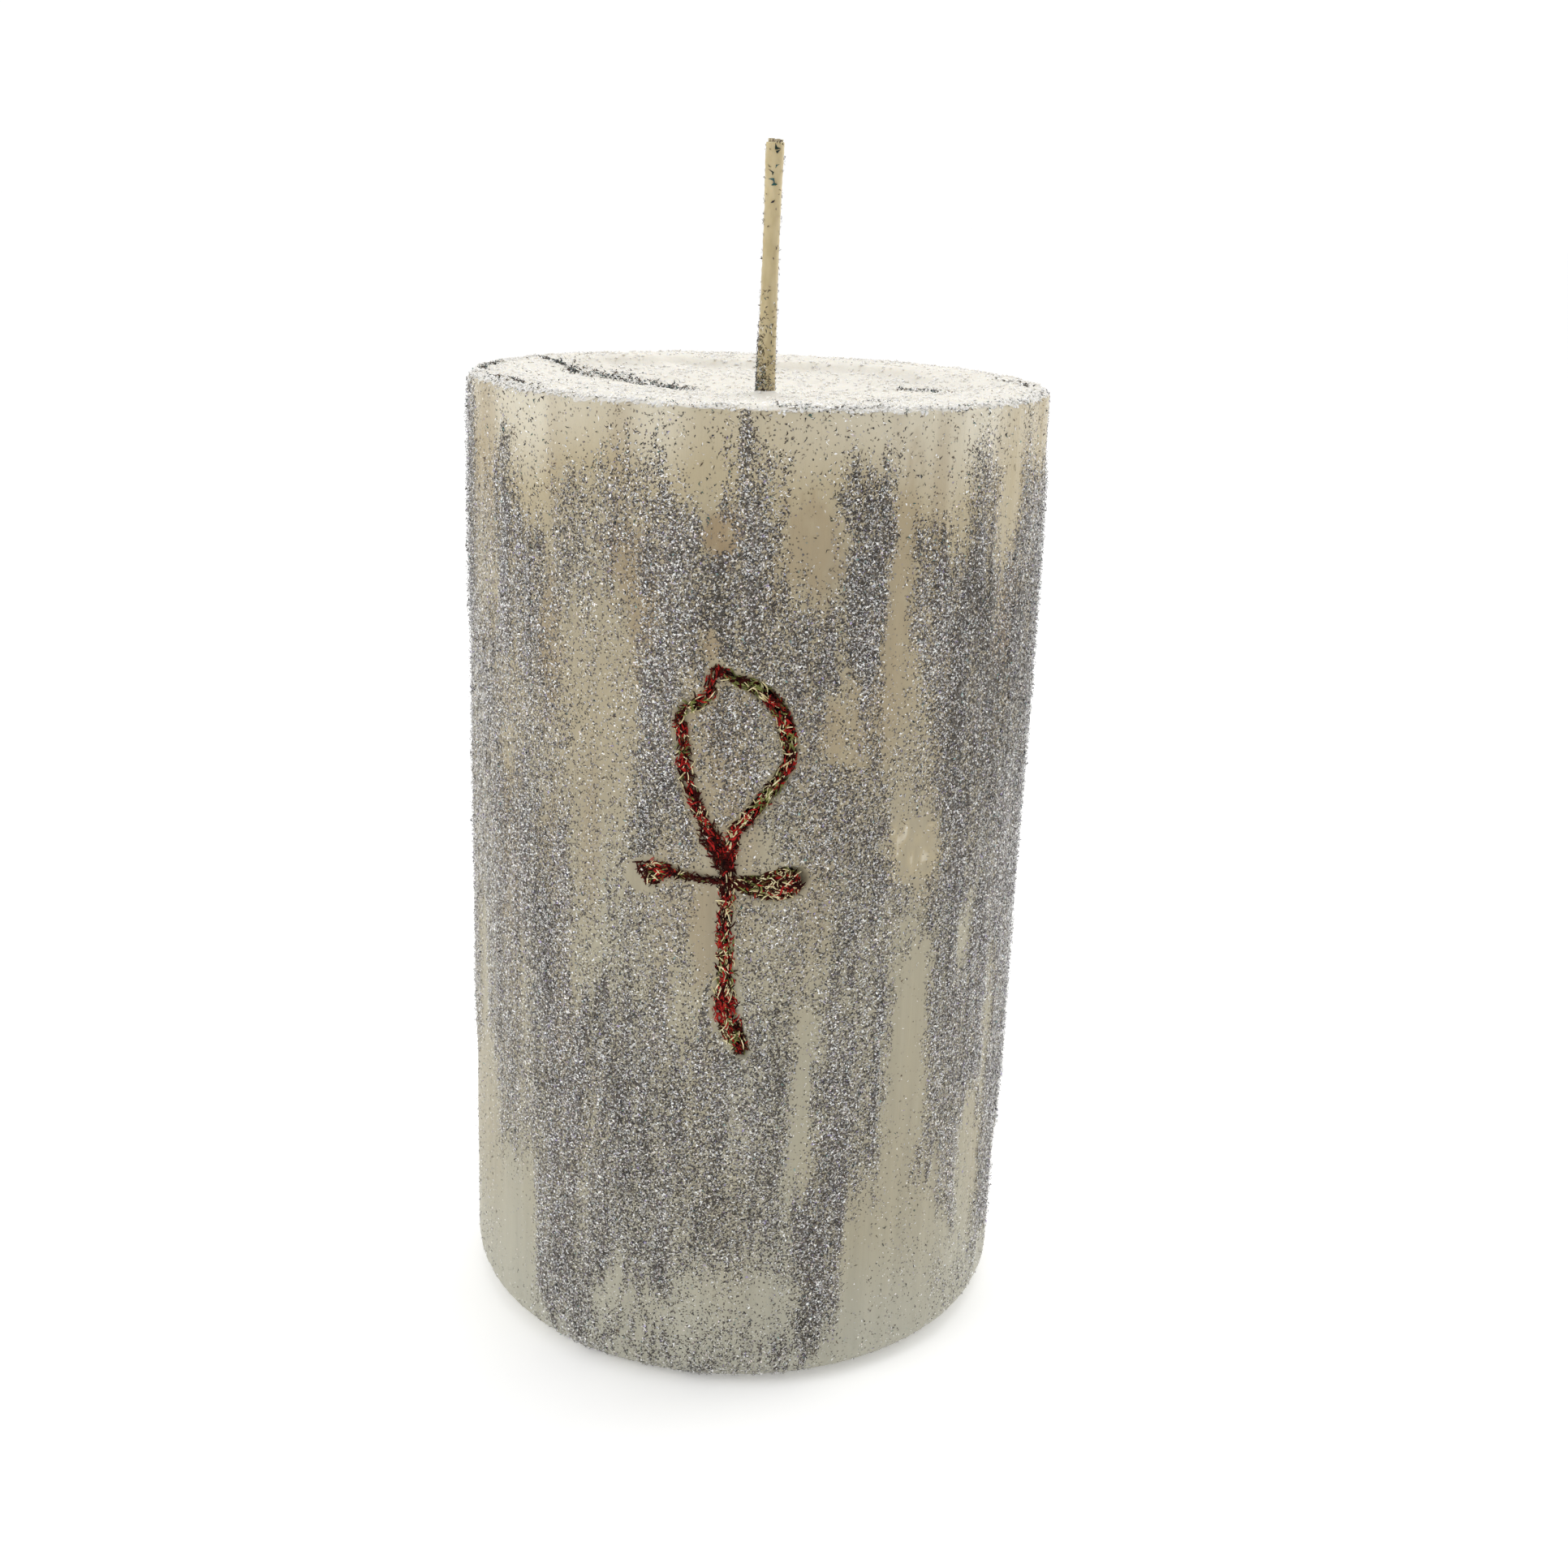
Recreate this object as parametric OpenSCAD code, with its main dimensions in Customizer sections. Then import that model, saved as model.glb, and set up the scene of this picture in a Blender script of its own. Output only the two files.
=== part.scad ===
// Pillar unity candle: a cast wax pillar with a waxed wick, a brushed and glittered
// wall, and a looped cross that is carved into the front and packed with fibres.
// Millimetres. +Z is up, the foot stands on Z = 0, the axis is X = Y = 0 and the
// front faces -Y. Bearings round the wall are in degrees from the front, positive
// toward +X.

/* [Wax pillar] */
// Diameter of the pillar
pillar_d = 76.2; // [50:0.1:100]
// Height of the pillar at its rim
pillar_h = 130; // [120:1:200]
// Radius of the worn edge round the foot
foot_r = 4.5; // [1:0.5:5]
// Radius of the edge round the rim
rim_r = 0.8; // [0.3:0.1:3]
// Depth of the dished top at the wick
dish_depth = 2.4; // [0.5:0.1:5]
// Radius of the dish in the top
dish_r = 33; // [20:0.5:34]

/* [Wick] */
// Diameter of the waxed wick
wick_d = 2.2; // [2:0.1:4]
// Thickness of the wax on the braid
wick_wax_t = 0.25; // [0.1:0.05:0.5]
// Diameter of the paper core
core_d = 0.8; // [0.4:0.1:1.2]
// Height of the wick's tip above the foot
wick_top = 160; // [140:1:230]
// Distance of the wick from the axis, toward +X
wick_off = 0.7; // [0:0.1:3]
// Length of bare braid above the wick's wax
bare_braid = 0.8; // [0.2:0.1:3]
// Height of the glitter on the wick, above the bottom of the dish
wick_glitter_h = 11; // [2:1:25]

/* [Wick tab] */
// Diameter of the tinplate tab
tab_d = 20; // [12:0.5:30]
// Thickness of the tinplate
tab_t = 0.4; // [0.2:0.05:1]
// Height of the tab's neck
neck_h = 6; // [3:0.5:12]
// Depth of the recess in the foot
recess_h = 2; // [1:0.1:4]
// Height of the seal's underside above the foot
seal_lift = 0.4; // [0:0.1:1]

/* [Wall coats] */
// Thickness of the brushed glue
glue_t = 0.25; // [0.1:0.05:0.5]
// Thickness of the glitter
glitter_t = 0.5; // [0.2:0.05:1]
// Lowest edge of the glue
glue_bottom = 5.5; // [5:0.5:20]
// Bare wax between the glue and the rim
glue_drop = 2.5; // [1:0.5:20]
// Number of glittered strokes round the back
back_strokes = 16; // [8:1:17]

/* [Looped cross] */
// Depth of the carved groove
groove_depth = 1.6; // [0.8:0.1:4]
// Thickness of the glue in the bottom of the groove
inlay_glue_t = 0.3; // [0.1:0.05:0.6]
// How far the bundles stand out of the wall
bundle_proud = 0.5; // [0.3:0.05:1.5]
// Gap between the glitter and the cross
cross_gap = 0.7; // [0.2:0.1:2]
// Thickness of a chopped sliver
sliver_t = 0.22; // [0.1:0.02:0.4]
// Width of a chopped sliver
sliver_w = 0.36; // [0.2:0.05:0.8]
// Length of a chopped sliver
sliver_l = 1.8; // [1:0.1:3]

/* [Hidden] */

pillar_r = pillar_d / 2;
glue_r = pillar_r + glue_t;
glitter_r = glue_r + glitter_t;
bundle_r = pillar_r + bundle_proud;
floor_r = pillar_r - groove_depth;
dish_z = pillar_h - dish_depth;
dish_ball_r = (dish_r * dish_r + dish_depth * dish_depth) / (2 * dish_depth);
braid_d = wick_d - 2 * wick_wax_t;
tab_top = recess_h;
tab_bottom = recess_h - tab_t;
neck_d = wick_d + 2 * tab_t;
neck_top = tab_top + neck_h;
front = -90;      // bearing 0 faces -Y
round_fn = 96;    // segments of a full circle
path_steps = 5;   // points on a stroke between two of its stations
side_step = 9;    // length between the bends in the side of a brushed stroke
side_waver = 0.25;
ragged_end = 5;   // depth of the ragged ends
tooth_w = 1.1;    // width of one ragged tooth
end_taper = 0.86; // width of a stroke's end against its middle

cross_bottom = 45; // heights that the looped cross lies between
cross_top = 105;

// The strokes of the looped cross, laid flat on the X-Z plane: each station is
// [x, z, half-width]. Neighbouring strokes meet inside the wider one.
loop_left = [
    [-3.9, 99.3, 0.75], [-4.6, 97.8, 0.8], [-5.0, 96.0, 0.85], [-6.3, 94.8, 0.8], [-7.8, 94.0, 0.75],
    [-8.2, 92.3, 0.85], [-7.8, 89.6, 0.85], [-7.6, 86.8, 0.9], [-6.7, 83.6, 0.95], [-5.5, 80.9, 1.0],
    [-4.5, 78.9, 0.95]
];
loop_right = [
    [-4.3, 99.3, 0.65], [-2.3, 98.4, 0.7], [-0.5, 97.6, 0.75], [1.4, 96.7, 0.8], [2.9, 95.3, 0.85],
    [4.1, 93.4, 0.95], [4.7, 91.0, 0.9], [5.1, 88.5, 0.7], [3.9, 85.9, 0.75], [1.8, 82.9, 0.8],
    [0.1, 80.7, 0.85], [-1.2, 79.1, 0.95], [-2.3, 77.7, 0.95]
];
neck = [[-3.9, 79.8, 1.7], [-3.3, 78.2, 2.1], [-2.7, 76.2, 1.8], [-2.4, 74.4, 1.4]];
left_arm = [
    [-13.2, 72.0, 1.2], [-12.0, 72.5, 1.7], [-10.6, 73.0, 1.4], [-9.0, 73.1, 0.8], [-7.4, 72.9, 0.6],
    [-4.8, 72.6, 0.6], [-2.6, 72.4, 0.6]
];
right_arm = [
    [-2.0, 72.4, 0.8], [-0.3, 72.2, 1.0], [1.3, 72.0, 1.25], [3.2, 71.9, 1.75], [5.0, 72.3, 1.9],
    [6.5, 72.8, 1.3]
];
stem = [
    [-2.2, 75.6, 1.2], [-2.1, 73.4, 1.1], [-2.1, 71.0, 1.05], [-2.2, 67.4, 1.0], [-2.1, 63.2, 1.05],
    [-1.9, 59.4, 1.25], [-2.0, 56.2, 1.55], [-1.3, 53.2, 1.5], [-0.3, 51.0, 1.2], [0.4, 49.6, 0.8]
];

// Glittered strokes: [start bearing, end bearing, bottom, top].
front_strokes = [
    [-32.5, -21.5, 108, 125], [-32.5, -22.0, 16, 56], [-20.5, -10.5, 79, 121], [-21.0, -13.5, 11, 55],
    [-20.5, -10.5, 59, 70], [-9.5, -0.5, 80, 126], [0.5, 9.5, 80, 123], [10.5, 16.5, 76, 110],
    [17.5, 24.5, 100, 124], [17.5, 27.0, 60, 80], [18.0, 29.5, 29, 53], [12.0, 23.5, 6.5, 28],
    [-12.5, -1.0, 20, 56], [0.0, 11.0, 22, 55], [30.5, 38.5, 102, 115], [28.0, 37.0, 63, 73],
    [-12.5, 11.0, 6.5, 11]
];
left_strokes = [
    [-57.5, -52.0, 98, 123], [-45.5, -41.0, 80, 110], [-46.0, -34.0, 6.5, 78], [-51.5, -47.0, 30, 112],
    [-59.0, -52.5, 30, 97], [-69.0, -60.0, 34, 112], [-82.0, -70.0, 42, 126]
];
right_strokes = [
    [40.0, 49.5, 62, 121], [40.5, 46.0, 28, 61], [47.0, 54.0, 20, 61], [50.5, 60.0, 62, 116],
    [55.0, 60.5, 36, 61], [61.0, 66.0, 38, 125], [67.0, 73.5, 10, 118], [74.5, 84.0, 30, 116]
];
back_from = 90;
back_to = 274;
back_pitch = (back_to - back_from) / back_strokes;
back_gap = 1.2;

// Crumbs of glitter on the top: [start bearing, end bearing, inner radius, outer radius].
rim_crumbs = [
    [-72, -58, 30.2, 32.4], [-52, -30, 30.4, 32.7], [-24, 3, 30.6, 32.8], [9, 38, 30.4, 32.6],
    [-78, -62, 16.5, 18.4], [-58, -36, 15.6, 17.4], [74, 88, 20.5, 22.2]
];
crumb_h = 0.5;

// ---- stroke outlines ----

// Catmull-Rom point between b and c of four stations.
function between(a, b, c, d, t) =
    0.5 * (2 * b + (c - a) * t + (2 * a - 5 * b + 4 * c - d) * t * t + (3 * b - a - 3 * c + d) * t * t * t);

function station(path, i) = path[max(0, min(len(path) - 1, i))];

function smooth(path) = [
    for (i = [0 : len(path) - 2], k = [0 : path_steps - 1])
        between(station(path, i - 1), station(path, i), station(path, i + 1), station(path, i + 2), k / path_steps),
    path[len(path) - 1]
];

function unit(v) = v / norm(v);

// Direction of a path at point i, in the plane.
function heading(path, i) =
    let (a = station(path, i - 1), b = station(path, i + 1)) unit([b[0] - a[0], b[1] - a[1]]);

// One long side of a stroke: side = 1 is the left side, -1 the right; grow widens it.
function side_of(path, side, grow) = [
    for (i = [0 : len(path) - 1])
        let (h = heading(path, i), w = path[i][2] + grow)
            [path[i][0] - side * h[1] * w, path[i][1] + side * h[0] * w]
];

function backward(points) = [for (i = [len(points) - 1 : -1 : 0]) points[i]];

// Path with both ends moved outward by grow.
function longer(path, grow) =
    let (n = len(path) - 1, a = heading(path, 0), b = heading(path, n))
        concat(
            [[path[0][0] - a[0] * grow, path[0][1] - a[1] * grow, path[0][2]]],
            [for (i = [1 : n - 1]) path[i]],
            [[path[n][0] + b[0] * grow, path[n][1] + b[1] * grow, path[n][2]]]
        );

module stroke_outline(stations, grow = 0) {
    path = longer(smooth(stations), grow);
    polygon(concat(side_of(path, 1, grow), backward(side_of(path, -1, grow))));
}

// An outline of the X-Z plane, run through the front half of the wall.
module through_front(depth_from = 20) {
    translate([0, -depth_from, 0])
        rotate([90, 0, 0])
            linear_extrude(pillar_r + 10 - depth_from)
                children();
}

module cross_outline(grow = 0) {
    stroke_outline(loop_left, grow);
    stroke_outline(loop_right, grow);
    stroke_outline(neck, grow);
    stroke_outline(left_arm, grow);
    stroke_outline(right_arm, grow);
    stroke_outline(stem, grow);
}

module shell(inner, outer, bottom, top) {
    rotate_extrude($fn = round_fn)
        translate([inner, bottom])
            square([outer - inner, top - bottom]);
}

// A value from -1 to 1 that changes unevenly with i; the seed shifts it.
function waver(seed, i) = sin(seed * 71 + i * 137) * 0.5 + sin(seed * 29 + i * 61) * 0.5;

// The outline of a brushed stroke, seen flat: wavering sides and ragged ends.

module brush_outline(width, bottom, top, seed) {
    height = top - bottom;
    side_steps = max(2, round(height / side_step));
    ragged = min(ragged_end, height * 0.2);
    left = [for (i = [1 : side_steps - 1])
        [-width / 2 + side_waver * (1 + waver(seed, i)), bottom + height * i / side_steps]];
    right = [for (i = [side_steps - 1 : -1 : 1])
        [width / 2 - side_waver * (1 + waver(seed + 5, i)), bottom + height * i / side_steps]];
    teeth = max(3, round(width / tooth_w));
    upper = [for (i = [0 : teeth])
        [-width / 2 * end_taper + width * end_taper * i / teeth, top - ragged * (1 + waver(seed + 9, i)) / 2]];
    lower = [for (i = [teeth : -1 : 0])
        [-width / 2 * end_taper + width * end_taper * i / teeth, bottom + ragged * (1 + waver(seed + 13, i)) / 2]];
    polygon(concat(left, upper, right, lower));
}

// ---- the pillar ----

module pillar_profile() {
    difference() {
        union() {
            translate([0, foot_r])
                square([pillar_r, pillar_h - foot_r - rim_r]);
            square([pillar_r - foot_r, foot_r + 1]);
            translate([pillar_r - foot_r, foot_r])
                circle(foot_r, $fn = round_fn);
            translate([0, pillar_h - rim_r - 1])
                square([pillar_r - rim_r, rim_r + 1]);
            translate([pillar_r - rim_r, pillar_h - rim_r])
                circle(rim_r, $fn = round_fn);
        }
        // the half-plane left of the axis
        translate([-pillar_r, -1])
            square([pillar_r, pillar_h + 2]);
        // the dish in the top
        translate([0, dish_z + dish_ball_r])
            circle(dish_ball_r, $fn = round_fn * 4);
    }
}

module wax_pillar() {
    color([0.90, 0.86, 0.76])
        difference() {
            rotate_extrude($fn = round_fn)
                pillar_profile();
            // recess for the tab and its seal
            translate([0, 0, -1])
                cylinder(d = tab_d, h = recess_h + 1, $fn = round_fn);
            // bores for the tab's neck and for the wick
            translate([wick_off, 0, 0])
                cylinder(d = neck_d, h = neck_top, $fn = round_fn);
            translate([wick_off, 0, 0])
                cylinder(d = wick_d, h = pillar_h, $fn = round_fn);
            // groove of the looped cross
            difference() {
                through_front()
                    cross_outline();
                translate([0, 0, cross_bottom])
                    cylinder(r = floor_r, h = cross_top - cross_bottom, $fn = round_fn);
            }
        }
}

// ---- the wick ----

module wick_core() {
    color([0.80, 0.74, 0.62])
        translate([wick_off, 0, tab_bottom])
            cylinder(d = core_d, h = wick_top - tab_bottom, $fn = round_fn);
}

module wick_braid() {
    color([0.86, 0.80, 0.64])
        translate([wick_off, 0, tab_bottom])
            difference() {
                cylinder(d = braid_d, h = wick_top - tab_bottom, $fn = round_fn);
                translate([0, 0, -1])
                    cylinder(d = core_d, h = wick_top + 2, $fn = round_fn);
            }
}

module wick_coat() {
    color([0.82, 0.75, 0.56])
        translate([wick_off, 0, tab_bottom])
            difference() {
                cylinder(d = wick_d, h = wick_top - bare_braid - tab_bottom, $fn = round_fn);
                translate([0, 0, -1])
                    cylinder(d = braid_d, h = wick_top + 2, $fn = round_fn);
            }
}

// A half sleeve of glitter on the wick's left side, sitting on the dish.
module wick_glitter() {
    half_turn = 190;
    color([0.62, 0.62, 0.62])
        translate([wick_off, 0, dish_z + 0.01])
            rotate([0, 0, 85])
                rotate_extrude(angle = half_turn, $fn = round_fn)
                    translate([wick_d / 2, 0])
                        square([glitter_t, wick_glitter_h]);
}

// ---- the wick tab and its seal ----

module wick_tab() {
    bead_r = tab_d * 0.34;
    bead = 0.35;
    color([0.72, 0.73, 0.74])
        difference() {
            union() {
                translate([0, 0, tab_bottom])
                    cylinder(d = tab_d, h = tab_t, $fn = round_fn);
                translate([wick_off, 0, tab_bottom])
                    cylinder(d = neck_d, h = neck_top - tab_bottom, $fn = round_fn);
                // stiffening bead stamped downward into the disc
                translate([0, 0, tab_bottom])
                    rotate_extrude($fn = round_fn)
                        translate([bead_r, 0])
                            circle(bead, $fn = round_fn);
            }
            // the bead stays below the disc's upper face
            translate([0, 0, tab_top])
                difference() {
                    cylinder(d = tab_d + 2, h = 1, $fn = round_fn);
                    translate([wick_off, 0, -1])
                        cylinder(d = neck_d, h = 3, $fn = round_fn);
                }
            translate([wick_off, 0, 0])
                cylinder(d = wick_d, h = pillar_h, $fn = round_fn);
        }
}

module tab_seal() {
    bead_r = tab_d * 0.34;
    bead = 0.35;
    color([0.88, 0.84, 0.74])
        difference() {
            translate([0, 0, seal_lift])
                cylinder(d = tab_d, h = tab_bottom - seal_lift, $fn = round_fn);
            translate([0, 0, tab_bottom])
                rotate_extrude($fn = round_fn)
                    translate([bead_r, 0])
                        circle(bead, $fn = round_fn);
        }
}

// ---- glue and glitter on the wall ----

module glue_coat() {
    color([0.76, 0.70, 0.58])
        difference() {
            shell(pillar_r, glue_r, glue_bottom, pillar_h - glue_drop);
            through_front()
                cross_outline(cross_gap / 2);
        }
}

module glittered(strokes) {
    color([0.60, 0.60, 0.60])
        for (i = [0 : len(strokes) - 1]) {
            s = strokes[i];
            width = 2 * glitter_r * sin((s[1] - s[0]) / 2);
            rotate([0, 0, (s[0] + s[1]) / 2])
                intersection() {
                    through_front()
                        brush_outline(width, s[2], s[3], i + s[2]);
                    shell(glue_r, glitter_r, s[2] - 1, s[3] + 1);
                }
        }
}

// The front strokes stop short of the looped cross and of the bare wax beside it.
module glitter_front() {
    color([0.60, 0.60, 0.60])
        difference() {
            glittered(front_strokes);
            through_front()
                cross_outline(cross_gap);
        }
}

module glitter_left() {
    glittered(left_strokes);
}

module glitter_right() {
    glittered(right_strokes);
}

// The strokes round the back have uneven lengths, like the ones at the front.
module glitter_back() {
    strokes = [
        for (i = [0 : back_strokes - 1])
            let (from = back_from + i * back_pitch)
                [from, from + back_pitch - back_gap, 26 + 16 * sin(i * 97), 112 + 12 * sin(40 + i * 143)]
    ];
    glittered(strokes);
}

// Height of the dish at a distance from the axis.
function dish_height(r) = dish_z + dish_ball_r - sqrt(dish_ball_r * dish_ball_r - r * r);

// Crumbs of glitter on the dished top face, in arcs round the rim and the pool.
module glitter_rim() {
    color([0.64, 0.64, 0.64])
        for (c = rim_crumbs) {
            low = dish_height(c[2]);
            high = dish_height(c[3]);
            rotate([0, 0, front + c[0]])
                rotate_extrude(angle = c[1] - c[0], $fn = round_fn)
                    polygon([[c[2], low], [c[3], high], [c[3], high + crumb_h], [c[2], low + crumb_h / 2]]);
        }
}

// ---- the inlay ----

module ring_part(inner, outer) {
    intersection() {
        through_front()
            children();
        shell(inner, outer, cross_bottom, cross_top);
    }
}

module inlay_glue() {
    color([0.70, 0.62, 0.46])
        ring_part(floor_r, floor_r + inlay_glue_t)
            cross_outline();
}

// A bundle fills its stroke of the groove, less the strokes that were laid before it.
module bundle() {
    ring_part(floor_r + inlay_glue_t, bundle_r)
        children();
}

module neck_bundle() {
    color([0.50, 0.14, 0.11])
        bundle()
            stroke_outline(neck);
}

module loop_left_bundle() {
    color([0.56, 0.10, 0.10])
        bundle()
            difference() {
                stroke_outline(loop_left);
                stroke_outline(neck);
            }
}

module loop_right_bundle() {
    color([0.55, 0.34, 0.20])
        bundle()
            difference() {
                stroke_outline(loop_right);
                stroke_outline(neck);
                stroke_outline(loop_left);
            }
}

module stem_bundle() {
    color([0.58, 0.16, 0.12])
        bundle()
            difference() {
                stroke_outline(stem);
                stroke_outline(neck);
            }
}

module left_arm_bundle() {
    color([0.44, 0.20, 0.14])
        bundle()
            difference() {
                stroke_outline(left_arm);
                stroke_outline(neck);
                stroke_outline(stem);
            }
}

module right_arm_bundle() {
    color([0.40, 0.13, 0.11])
        bundle()
            difference() {
                stroke_outline(right_arm);
                stroke_outline(neck);
                stroke_outline(stem);
            }
}

// Slivers lie on the bundles in two crossing layers. Each is a thin slat at a
// point of a stroke, turned from the stroke's own direction by its lean. A run is
// [stroke, points left free at its start, points left free at its end].
sliver_runs = [
    [loop_left, 3, 10], [loop_right, 6, 15], [neck, 3, 7], [left_arm, 2, 8], [right_arm, 8, 2], [stem, 9, 2]
];
sliver_pitch = 2;    // path points from one sliver of a layer to the next
sliver_lean = 40;
layer_gap = 0.06;

module sliver_at(path, i, lean, layer) {
    h = heading(path, i);
    bearing = asin(path[i][0] / pillar_r);
    lift = bundle_r + layer_gap + layer * (sliver_t + layer_gap);
    rotate([0, 0, bearing])
        translate([0, -lift, path[i][1]])
            rotate([0, -atan2(h[1], h[0]) + lean, 0])
                translate([-sliver_l / 2, -sliver_t, -sliver_w / 2])
                    cube([sliver_l, sliver_t, sliver_w]);
}

// Every other sliver of a layer, starting with the first or the second.
module slivers(start, layer, lean) {
    for (run = sliver_runs) {
        path = smooth(run[0]);
        last = len(path) - 1 - run[2];
        for (i = [run[1] + start * sliver_pitch : 2 * sliver_pitch : last])
            sliver_at(path, i, lean, layer);
    }
}

module red_slivers() {
    color([0.74, 0.09, 0.10])
        slivers(0, 0, sliver_lean);
}

module dark_slivers() {
    color([0.24, 0.09, 0.07])
        slivers(1, 0, sliver_lean);
}

module gold_slivers() {
    color([0.82, 0.74, 0.46])
        slivers(0, 1, -sliver_lean);
}

module green_slivers() {
    color([0.42, 0.42, 0.20])
        slivers(1, 1, -sliver_lean);
}

wax_pillar();
wick_core();
wick_braid();
wick_coat();
wick_glitter();
wick_tab();
tab_seal();
glue_coat();
glitter_front();
glitter_left();
glitter_right();
glitter_back();
glitter_rim();
inlay_glue();
loop_left_bundle();
loop_right_bundle();
neck_bundle();
left_arm_bundle();
right_arm_bundle();
stem_bundle();
red_slivers();
dark_slivers();
gold_slivers();
green_slivers();
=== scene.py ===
import math

import bpy
import numpy as np
from mathutils import Matrix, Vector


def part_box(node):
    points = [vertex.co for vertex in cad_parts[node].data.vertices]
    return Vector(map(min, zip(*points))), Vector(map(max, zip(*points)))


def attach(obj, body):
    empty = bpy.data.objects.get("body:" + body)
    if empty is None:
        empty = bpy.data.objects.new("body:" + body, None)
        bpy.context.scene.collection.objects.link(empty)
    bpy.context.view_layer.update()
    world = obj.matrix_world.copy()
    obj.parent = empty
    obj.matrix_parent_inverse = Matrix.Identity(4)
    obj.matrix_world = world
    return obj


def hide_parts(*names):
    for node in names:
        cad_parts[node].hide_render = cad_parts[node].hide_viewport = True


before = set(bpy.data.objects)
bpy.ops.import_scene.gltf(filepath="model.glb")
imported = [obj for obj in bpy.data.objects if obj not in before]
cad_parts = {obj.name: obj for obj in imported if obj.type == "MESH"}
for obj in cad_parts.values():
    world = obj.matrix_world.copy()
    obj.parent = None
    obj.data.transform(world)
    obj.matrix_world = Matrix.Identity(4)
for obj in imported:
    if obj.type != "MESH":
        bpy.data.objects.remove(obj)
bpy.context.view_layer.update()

# Lengths in this script are millimetres and are scaled to metres as each mesh is made.
# A bearing is an angle round the wall in degrees: 0 at the front (-Y), positive toward +X.
MM = 0.001

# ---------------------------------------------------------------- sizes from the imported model

def node_box(name):
    """Lowest and highest corners of a CAD node."""
    low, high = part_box(name)
    return np.array(low) / MM, np.array(high) / MM


PILLAR_LOW, PILLAR_HIGH = node_box("wax_pillar")
PILLAR_R = (PILLAR_HIGH[0] - PILLAR_LOW[0]) / 2
PILLAR_H = PILLAR_HIGH[2]
WICK_LOW, WICK_HIGH = node_box("wick_coat")
WICK_R = (WICK_HIGH[0] - WICK_LOW[0]) / 2
WICK_X = (WICK_HIGH[0] + WICK_LOW[0]) / 2
WICK_TOP = node_box("wick_braid")[1][2]
TAB_R = node_box("wick_tab")[1][0] + 0.03  # the recess for the wick tab, with a hair of room
RECESS_H = node_box("tab_seal")[1][2]

FOOT_R = 4.5           # rounding of the foot
RIM_R = 0.8            # rounding of the rim
DISH_R = 33.0          # the dished part of the top
DISH_DEPTH = 2.4
GLUE_T = 0.25          # thickness of the glue
GROOVE_DEPTH = 1.3     # how far the wall sinks under the cross


# ---------------------------------------------------------------- seeded noise
# The last number of every call of wall_noise, flat_noise and patch is its seed.

def smoothstep(low, high, x):
    """0 at low, 1 at high and smooth between; low may be the greater of the two."""
    t = np.clip((x - low) / (high - low), 0.0, 1.0)
    return t * t * (3 - 2 * t)


def cell_blend(grid, u, v):
    """Values of a grid blended smoothly at u, v; the first axis wraps round."""
    i, j = np.floor(u).astype(int), np.floor(v).astype(int)
    fu, fv = u - i, v - j
    fu, fv = fu * fu * (3 - 2 * fu), fv * fv * (3 - 2 * fv)
    i0, i1 = i % len(grid), (i + 1) % len(grid)
    low = grid[i0, j] * (1 - fu) + grid[i1, j] * fu
    high = grid[i0, j + 1] * (1 - fu) + grid[i1, j + 1] * fu
    return low * (1 - fv) + high * fv


def wall_noise(bearing, z, cell_deg, cell_mm, seed):
    """Smooth value noise from 0 to 1 on the wall, seamless all the way round."""
    columns = max(3, int(round(360 / cell_deg)))
    rows = int(PILLAR_H / cell_mm) + 8
    grid = np.random.default_rng(seed).random((columns, rows))
    u = (np.asarray(bearing) % 360) / 360 * columns
    v = np.clip(np.asarray(z) / cell_mm + 3, 0, rows - 2.001)
    return cell_blend(grid, u, v)


def flat_noise(x, y, cell, seed):
    """Smooth value noise from 0 to 1 on the flat top."""
    size = int(100 / cell) + 4
    grid = np.random.default_rng(seed).random((size, size))
    u = np.clip(np.asarray(x) / cell + size / 2, 0, size - 2.001)
    v = np.clip(np.asarray(y) / cell + size / 2, 0, size - 2.001)
    return cell_blend(grid, u, v)


# ---------------------------------------------------------------- the looped cross

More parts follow.
